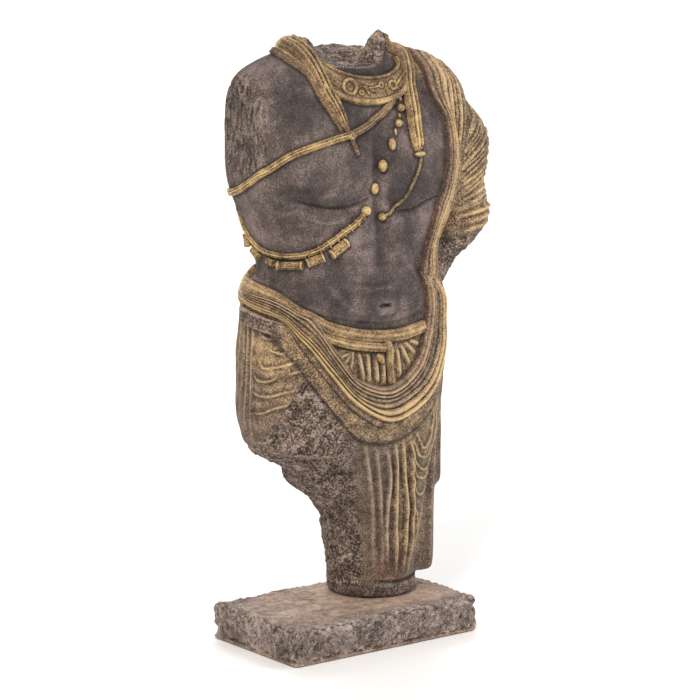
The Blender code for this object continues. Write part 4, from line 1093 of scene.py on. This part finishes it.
def make_girdle(surface):
    """Waistband, rolled belt and its knot with a hanging tail."""
    made = []
    for name, line, width, thickness, ridges, gold, rust in (
        ("Waistband", WAISTBAND, 14, 6.5, 2, 0.6, 0.5),
        ("Belt", BELT_ROPE, (8, 10, 11, 11, 10), (6, 8, 9, 9, 8), 2, 0.6, 0.2),
        ("Knot_tail", KNOT_TAIL, (10, 9, 10, 9), (9, 7, 6, 5), 2, 0.6, 0),
    ):
        points, normals = laid(surface, TRUNK_AXIS, curve(line, 240))
        piece = strap(name, points, normals, width, thickness, ridges, 0.02, around=60, groove=0.2)
        made.append((piece, {"cloth": 1, "gold": gold, "rust": rust}))
    knot = knob("Knot", *spot(surface, *KNOT, 2), (5, 6, 6.5))
    leaf = knob("Knot_leaf", *spot(surface, *KNOT_LEAF, 4), (4, 4, 7), 35)
    made += [(knot, {"cloth": 1, "gold": 0.5}), (leaf, {"cloth": 1, "gold": 0.7})]
    return [(worn(piece), masks) for piece, masks in made]


def make_plinth():
    """Rough cast block with worn, chipped edges and a shallow seat for the foot, in metres."""
    low, high = PLINTH_BOX
    bpy.ops.mesh.primitive_cube_add(size=1)
    block = bpy.context.object
    block.name = "Plinth"
    size = Vector(high) - Vector(low)
    middle = (Vector(high) + Vector(low)) / 2
    block.data.transform(Matrix.Translation(middle) @ Matrix.Diagonal((*size, 1)))
    bevel = block.modifiers.new("Worn edges", "BEVEL")
    bevel.width = PLINTH_EDGE
    bevel.segments = 2
    skin = block.modifiers.new("Even faces", "REMESH")
    skin.mode = "VOXEL"
    skin.voxel_size = PLINTH_GRID
    apply_modifiers(block)
    mesh = block.data
    places = read_places(mesh)
    normals = read_normals(mesh)
    lumps = noise_at(places, PLINTH_LUMP, seed=4)
    crumb = noise_at(places, PLINTH_CRUMB, seed=5)
    pits = np.clip(noise_at(places, PLINTH_PIT, seed=6) - 0.25, 0, 1)
    loss = PLINTH_LUMP_DEPTH * (1 + lumps) / 2 + PLINTH_CRUMB_DEPTH * (1 + crumb) / 2
    loss = loss + PLINTH_PIT_DEPTH * pits
    top = normals[:, 2] > FACING_UP
    not_under = normals[:, 2] > FACING_DOWN
    loss = np.where(top, loss * PLINTH_TOP_SHARE, loss) * not_under
    places = places - normals * loss[:, None]
    from_edge = np.sort(np.minimum(places - np.array(low), np.array(high) - places), 1)[:, 1]
    chipped = PLINTH_CHIP * ramp(from_edge, PLINTH_CHIP_REACH, 0) * np.clip(0.5 + crumb + lumps, 0, 1.6)
    places = places - normals * (chipped * not_under)[:, None]
    from_foot = np.hypot(places[:, 0] / UNIT - FOOT[0], places[:, 1] / UNIT - FOOT[1])
    seat = top & (from_foot < FOOT_RADIUS + SEAT_MARGIN)
    places[seat, 2] = np.minimum(places[seat, 2], SEAT_HEIGHT - SEAT_GAP)
    places[:, 2] = np.where(places[:, 2] < low[2] + PLINTH_FLAT_BAND, low[2], places[:, 2])
    set_places(mesh, np.clip(places, low, high))
    # Top faces painted paler: partly dust, thickest round the foot, partly painted light on the upward
    # face
    dust = top * ramp(from_edge, 0.004, 0.03) * (0.5 + 0.5 * ramp(from_foot, 150, 60))
    # The lowest 12 mm of the sides are made paler with the same paint
    return block, np.maximum(dust, 0.6 * ramp(places[:, 2], 0.012, 0.003))


def set_mask(mesh, name, values):
    attribute = mesh.attributes.new(name, "FLOAT", "POINT")
    values = np.broadcast_to(np.asarray(values, np.float32), len(mesh.vertices))
    attribute.data.foreach_set("value", np.ascontiguousarray(values))


def relief_of(piece, depth):
    """From 0 in grooves to 1 on ridges, by how far each point stands off a softened copy of its piece."""
    places = read_places(piece.data)
    normals = read_normals(piece.data)
    soft = piece.modifiers.new("Softened", "SMOOTH")
    soft.factor = 0.5
    soft.iterations = RELIEF_PASSES
    evaluated = piece.evaluated_get(bpy.context.evaluated_depsgraph_get())
    away = ((places - read_places(evaluated.to_mesh())) * normals).sum(1)
    evaluated.to_mesh_clear()
    piece.modifiers.clear()
    return np.clip(0.5 + away / (2 * depth), 0, 1)


def stand_on_seat(piece):
    """Brings a piece of the figure to its real size, onto its seat and inside the figure's box."""
    places = read_places(piece.data) * UNIT
    places[:, 2] += SEAT_HEIGHT
    set_places(piece.data, np.clip(places, *FIGURE_BOX))


def linear(code):
    """Linear colour of an sRGB hex value."""
    levels = [int(code[place : place + 2], 16) / 255 for place in (1, 3, 5)]
    return tuple(v / 12.92 if v <= 0.04045 else ((v + 0.055) / 1.055) ** 2.4 for v in levels) + (1.0,)


def add(tree, kind, settings, links=()):
    """Adds a shader node with its settings and its links. Stops are a colour ramp's places and colours."""
    node = tree.nodes.new("ShaderNode" + kind)
    for name, value in settings.items():
        if name == "stops":
            while len(node.color_ramp.elements) < len(value):
                node.color_ramp.elements.new(0.5)
            for element, (place, code) in zip(node.color_ramp.elements, value):
                element.position = place
                element.color = linear(code)
        elif isinstance(name, int) or name in node.inputs:
            node.inputs[name].default_value = value
        else:
            setattr(node, name, value)
    for name, source in links:
        tree.links.new(source, node.inputs[name])
    return node


def new_material(name):
    material = bpy.data.materials.new(name)
    material.use_nodes = True
    tree = material.node_tree
    shader = tree.nodes["Principled BSDF"]
    return material, tree, shader


# Real sizes of the finish, in metres: grain of the casting, its finest specks, mottling of the wash,
# clouds of patina, and pores of the broken stone
GRAIN = 0.0019
SPECK = 0.0011
MOTTLE = 0.011
CLOUD = 0.05
PORE = 0.003


def grain_nodes(tree):
    """Noise of the casting's surface at its four sizes, from 0 to 1."""
    place = add(tree, "TexCoord", {}).outputs["Object"]
    made = []
    for size, detail, roughness in ((SPECK, 2, 0.6), (GRAIN, 3, 0.65), (MOTTLE, 3, 0.6), (CLOUD, 3, 0.55)):
        settings = {"Scale": 1 / size, "Detail": detail, "Roughness": roughness}
        made.append(add(tree, "TexNoise", settings, [("Vector", place)]).outputs["Fac"])
    pores = add(tree, "TexVoronoi", {"Scale": 1 / PORE, "Randomness": 1.0}, [("Vector", place)])
    return (*made, pores.outputs["Distance"])


def weighed(tree, parts, base):
    """Base plus each value's difference from a half, times its weight."""
    total = None
    offset = base - sum(weight for _, weight in parts) / 2
    for value, weight in parts:
        settings = {"operation": "MULTIPLY_ADD", 1: weight, 2: offset}
        links = [(0, value)]
        if total is not None:
            links.append((2, total))
        total = add(tree, "Math", settings, links).outputs[0]
    return total


def masks_of(tree, names):
    """Values that a piece carries at its points, by name."""
    return {name: add(tree, "Attribute", {"attribute_name": name}).outputs["Fac"] for name in names}


def product(tree, first, second):
    """Two values multiplied and kept between 0 and 1."""
    settings = {"operation": "MULTIPLY", "use_clamp": True}
    return add(tree, "Math", settings, [(0, first), (1, second)]).outputs[0]


MIX_FACTOR, MIX_FIRST, MIX_SECOND, MIX_RESULT = 0, 6, 7, 2


def cast_finish(name, cloth_stops, gold_stops, gold_amount, stipple):
    """Stone-filled resin: a dark wash left in its hollows, paler paint or gold brushed over its ridges."""
    material, tree, shader = new_material(name)
    speck, grain, mottle, cloud, pores = grain_nodes(tree)
    masks = masks_of(tree, MASKS)
    relief = masks["relief"]
    wash = weighed(tree, [(relief, 0.7), (grain, 0.7), (speck, 1.7), (mottle, 0.6), (cloud, 1.5)], 0.5)
    rubble = weighed(tree, [(relief, 0.6), (grain, 0.8), (speck, 1.9), (mottle, 1.2), (pores, 0.5)], 0.49)
    under = weighed(tree, [(relief, 0.8), (grain, 0.8), (speck, 1.7), (mottle, 0.6), (cloud, 0.4)], 0.5)
    parts = [(relief, 0.85), (grain, stipple / 2), (speck, stipple), (mottle, 0.9), (cloud, 0.8)]
    brush = weighed(tree, parts, 0.6)
    rusty = weighed(tree, [(masks["rust"], 1.6), (mottle, 1.6), (cloud, 0.8)], 0.15)
    rusty = product(tree, rusty, masks["rust"])
    leaf = add(tree, "MapRange", {"From Min": 0.45, "From Max": 0.95}, [("Value", brush)]).outputs[0]
    leaf = product(tree, leaf, masks["gold"])

    # Each layer covers the ones before it by its share
    body = add(tree, "ValToRGB", {"stops": SKIN_STOPS}, [("Fac", wash)]).outputs["Color"]
    for share, stops, shade in (
        (masks["stone"], STONE_STOPS, rubble),
        (masks["cloth"], cloth_stops, under),
        (rusty, RUST_STOPS, under),
        (leaf, gold_stops, brush),
    ):
        layer = add(tree, "ValToRGB", {"stops": stops}, [("Fac", shade)]).outputs["Color"]
        links = [(MIX_FACTOR, share), (MIX_FIRST, body), (MIX_SECOND, layer)]
        body = add(tree, "Mix", {"data_type": "RGBA"}, links).outputs[MIX_RESULT]

    # Painted shade: near-black paint mixed in where laid pieces meet the surface, standing in for the
    # shade there
    dirt = add(tree, "Math", {"operation": "MULTIPLY", 1: 0.75}, [(0, masks["dirt"])]).outputs[0]
    links = [(MIX_FACTOR, dirt), (MIX_FIRST, body)]
    with_painted_shade = add(tree, "Mix", {"data_type": "RGBA", MIX_SECOND: linear(PAINTED_SHADE_COLOUR)}, links).outputs[MIX_RESULT]
    tree.links.new(with_painted_shade, shader.inputs["Base Color"])

    metal = add(tree, "Math", {"operation": "MULTIPLY", 1: gold_amount}, [(0, leaf)]).outputs[0]
    tree.links.new(metal, shader.inputs["Metallic"])
    dull = add(tree, "Math", {"operation": "MULTIPLY_ADD", 1: -0.38, 2: 0.9}, [(0, leaf)]).outputs[0]
    tree.links.new(dull, shader.inputs["Roughness"])

    height = weighed(tree, [(speck, 0.5), (grain, 0.6), (mottle, 0.3)], 0.5)
    links = [(0, pores), (1, masks["stone"]), (2, height)]
    pitted = add(tree, "Math", {"operation": "MULTIPLY_ADD"}, links).outputs[0]
    bump = add(tree, "Bump", {"Strength": 0.9, "Distance": GRAIN_DEPTH}, [("Height", pitted)])
    tree.links.new(bump.outputs["Normal"], shader.inputs["Normal"])
    return material


def plinth_finish():
    """The same resin, coarser: grey-brown with pale worn grains; its top is painted paler, partly as dust
    round the foot and partly as painted light from above, and its bottom edge is paler too.
    """
    material, tree, shader = new_material("Coarse cast stone plinth")
    speck, grain, mottle, cloud, pores = grain_nodes(tree)
    masks = masks_of(tree, ("relief", "dust"))
    parts = [(masks["relief"], 0.6), (grain, 0.9), (speck, 1.8), (mottle, 0.9), (cloud, 0.8)]
    rubble = weighed(tree, parts, 0.5)
    stone = add(tree, "ValToRGB", {"stops": PLINTH_STOPS}, [("Fac", rubble)]).outputs["Color"]
    # Paler paint on the top, partly dust and partly painted light from above, uneven across it
    dust = weighed(tree, [(mottle, 1.2), (cloud, 1.0), (grain, 0.6)], 1.0)
    dust = product(tree, dust, masks["dust"])
    pale = add(tree, "ValToRGB", {"stops": DUST_AND_TOP_LIGHT_STOPS}, [("Fac", rubble)]).outputs["Color"]
    links = [(MIX_FACTOR, dust), (MIX_FIRST, stone), (MIX_SECOND, pale)]
    colour = add(tree, "Mix", {"data_type": "RGBA"}, links).outputs[MIX_RESULT]
    tree.links.new(colour, shader.inputs["Base Color"])
    shader.inputs["Roughness"].default_value = 0.9
    height = weighed(tree, [(speck, 0.5), (grain, 0.7), (mottle, 0.5), (pores, 0.5)], 0.5)
    bump = add(tree, "Bump", {"Strength": 0.9, "Distance": PLINTH_GRAIN_DEPTH}, [("Height", height)])
    tree.links.new(bump.outputs["Normal"], shader.inputs["Normal"])
    return material


def floor_finish():
    """Matt painted board: near white, with a faint tooth."""
    material, tree, shader = new_material("Matt white board")
    place = add(tree, "TexCoord", {}).outputs["Object"]
    tooth = add(tree, "TexNoise", {"Scale": 400.0}, [("Vector", place)]).outputs["Fac"]
    stops = ((0.3, "#f0efed"), (0.7, "#f6f5f3"))
    colour = add(tree, "ValToRGB", {"stops": stops}, [("Fac", tooth)]).outputs["Color"]
    tree.links.new(colour, shader.inputs["Base Color"])
    shader.inputs["Roughness"].default_value = 0.9
    return material


# Paint over the cast, from its hollows to its ridges
MASKS = ("relief", "cloth", "gold", "stone", "rust", "dirt")
SKIN_STOPS = ((0.05, "#27211f"), (0.35, "#3e3633"), (0.6, "#544843"), (0.95, "#887770"))
STONE_STOPS = ((0.18, "#1c1410"), (0.42, "#4a3b32"), (0.6, "#6f5e53"), (0.86, "#ab9788"))
CLOTH_STOPS = ((0.1, "#241b16"), (0.4, "#54453a"), (0.65, "#826e5d"), (0.95, "#b09c88"))
GOLD_STOPS = ((0.35, "#7f6647"), (0.65, "#ad8d60"), (1.0, "#d2b482"))
JEWEL_STOPS = ((0.1, "#281e17"), (0.4, "#5a4737"), (0.65, "#8a7055"), (0.95, "#b39a78"))
BRIGHT_STOPS = ((0.35, "#876c47"), (0.65, "#b9975f"), (1.0, "#ddc08a"))
RUST_STOPS = ((0.1, "#221713"), (0.4, "#51392e"), (0.65, "#7c5847"), (0.95, "#a98167"))
PLINTH_STOPS = ((0.1, "#28201c"), (0.4, "#5a4d45"), (0.62, "#887870"), (0.95, "#c2afa3"))
# Paler colour of the top: dust and painted light from above
DUST_AND_TOP_LIGHT_STOPS = ((0.1, "#7d6755"), (0.45, "#a98f7c"), (0.9, "#c9b09c"))
# Colour of the painted shade where pieces meet
PAINTED_SHADE_COLOUR = "#1d1613"


def dress(piece, masks, material):
    """Gives a figure piece its masks, size, place, material and its part in the frame."""
    mesh = piece.data
    if "relief" not in mesh.attributes:
        set_mask(mesh, "relief", relief_of(piece, RELIEF_DEPTH))
    for mask in MASKS[1:]:
        set_mask(mesh, mask, masks.get(mask, 0))
    mesh.materials.clear()
    mesh.materials.append(material)
    mesh.shade_smooth()
    stand_on_seat(piece)
    thin_out(piece)
    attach(piece, "root")
    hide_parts("figure")


def aim(item, target):
    """Turns a light or camera so that it looks at a place."""
    item.rotation_mode = "QUATERNION"
    item.rotation_quaternion = (Vector(target) - item.location).to_track_quat("-Z", "Y")


def add_light(name, place, size, power, colour, target):
    """Soft square lamp aimed at a target."""
    light = bpy.data.lights.new(name, "AREA")
    light.size = size
    light.energy = power
    light.color = linear(colour)[:3]
    item = bpy.data.objects.new(name, light)
    item.location = place
    bpy.context.scene.collection.objects.link(item)
    aim(item, target)


def make_studio():
    """Pale floor, soft lights and a bright room."""
    bpy.ops.mesh.primitive_plane_add(size=40)
    floor = bpy.context.object
    floor.name = "Floor"
    floor.data.materials.append(floor_finish())
    add_light("Key", (-2.5, -1.9, 3.3), 1.2, 145, "#fffaf5", VIEW_TARGET)
    add_light("Fill", (2.6, -2.0, 1.4), 2.0, 52, "#f4f7ff", VIEW_TARGET)
    add_light("Rim", (1.4, 2.4, 2.4), 1.4, 40, "#ffffff", VIEW_TARGET)
    # Brightens the floor that fills the picture's upper part
    add_light("Backdrop", (4.5, 5.9, 4.0), 6.0, 280, "#ffffff", (4.5, 5.95, 0))
    world = bpy.data.worlds.new("Room with a white backdrop")
    bpy.context.scene.world = world
    world.use_nodes = True
    tree = world.node_tree
    way = add(tree, "TexCoord", {}).outputs["Generated"]
    settings = {"operation": "DOT_PRODUCT", 1: (0.6, 0.78, 0.1)}
    behind = add(tree, "VectorMath", settings, [(0, way)]).outputs["Value"]
    settings = {"From Min": 0.2, "From Max": 0.75, "To Min": 0.38, "To Max": 1.05}
    bright = add(tree, "MapRange", settings, [("Value", behind)]).outputs["Result"]
    tree.nodes["Background"].inputs["Color"].default_value = linear("#ffffff")
    tree.links.new(bright, tree.nodes["Background"].inputs["Strength"])
    bpy.context.scene.view_settings.view_transform = "Standard"


# The photograph's view: turn and rise of the camera, how far it is, its lens and where it aims
VIEW_TURN = -37.3
VIEW_RISE = 11.0
VIEW_DISTANCE = 4.0
VIEW_TARGET = (0, 0, 0.35)
VIEW_LENS = 180
SENSOR_WIDTH = 36
PHOTO_SIDE = 700
PHOTO_SHIFT = (4.6, -11.8)


def make_camera():
    turn, rise = math.radians(VIEW_TURN), math.radians(VIEW_RISE)
    back = Vector((math.sin(turn) * math.cos(rise), -math.cos(turn) * math.cos(rise), math.sin(rise)))
    data = bpy.data.cameras.new("Photograph view")
    data.lens = VIEW_LENS
    data.sensor_width = SENSOR_WIDTH
    data.shift_x = PHOTO_SHIFT[0] / PHOTO_SIDE
    data.shift_y = PHOTO_SHIFT[1] / PHOTO_SIDE
    data.clip_end = 50
    camera = bpy.data.objects.new("Photograph view", data)
    camera.location = Vector(VIEW_TARGET) + back * VIEW_DISTANCE
    bpy.context.scene.collection.objects.link(camera)
    aim(camera, VIEW_TARGET)
    bpy.context.scene.camera = camera


def main():
    make_camera()
    make_studio()
    body = fuse("Whole_body", LOFTS, BODY_GRID)
    skin = surface_of(body)
    carve(body, skin, muscle_lines(), MOUNDS)
    surface = surface_of(body)
    bpy.data.objects.remove(body)

    cast = cast_finish("Dry-brushed cast stone", CLOTH_STOPS, GOLD_STOPS, 0.4, 2.0)
    gilded = cast_finish("Gold-brushed cast drapery", CLOTH_STOPS, GOLD_STOPS, 0.4, 2.0)
    jewelled = cast_finish("Gold-painted cast jewellery", JEWEL_STOPS, BRIGHT_STOPS, 0.5, 1.0)
    drapery = make_drapery(surface)
    jewellery = make_collar(surface) + make_lappets(surface)
    jewellery += make_jewellery(surface) + make_girdle(surface)
    edges = tree_of(np.concatenate([read_places(piece.data) for piece, _ in drapery + jewellery]))
    for piece, masks in (make_torso(skin), make_hips(skin)):
        # Painted shade on the torso and hips where the drapery and jewellery meet them
        masks["dirt"] = painted_shade_around(piece, edges, PAINTED_SHADE_REACH)
        dress(piece, masks, cast)
    for piece, masks in drapery:
        dress(piece, masks, gilded)
    for piece, masks in jewellery:
        dress(piece, masks, jewelled)

    plinth, dust = make_plinth()
    set_mask(plinth.data, "relief", relief_of(plinth, RELIEF_DEPTH * UNIT))
    set_mask(plinth.data, "dust", dust)
    plinth.data.materials.clear()
    plinth.data.materials.append(plinth_finish())
    plinth.data.shade_smooth()
    thin_out(plinth)
    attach(plinth, "root")
    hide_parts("plinth")


main()
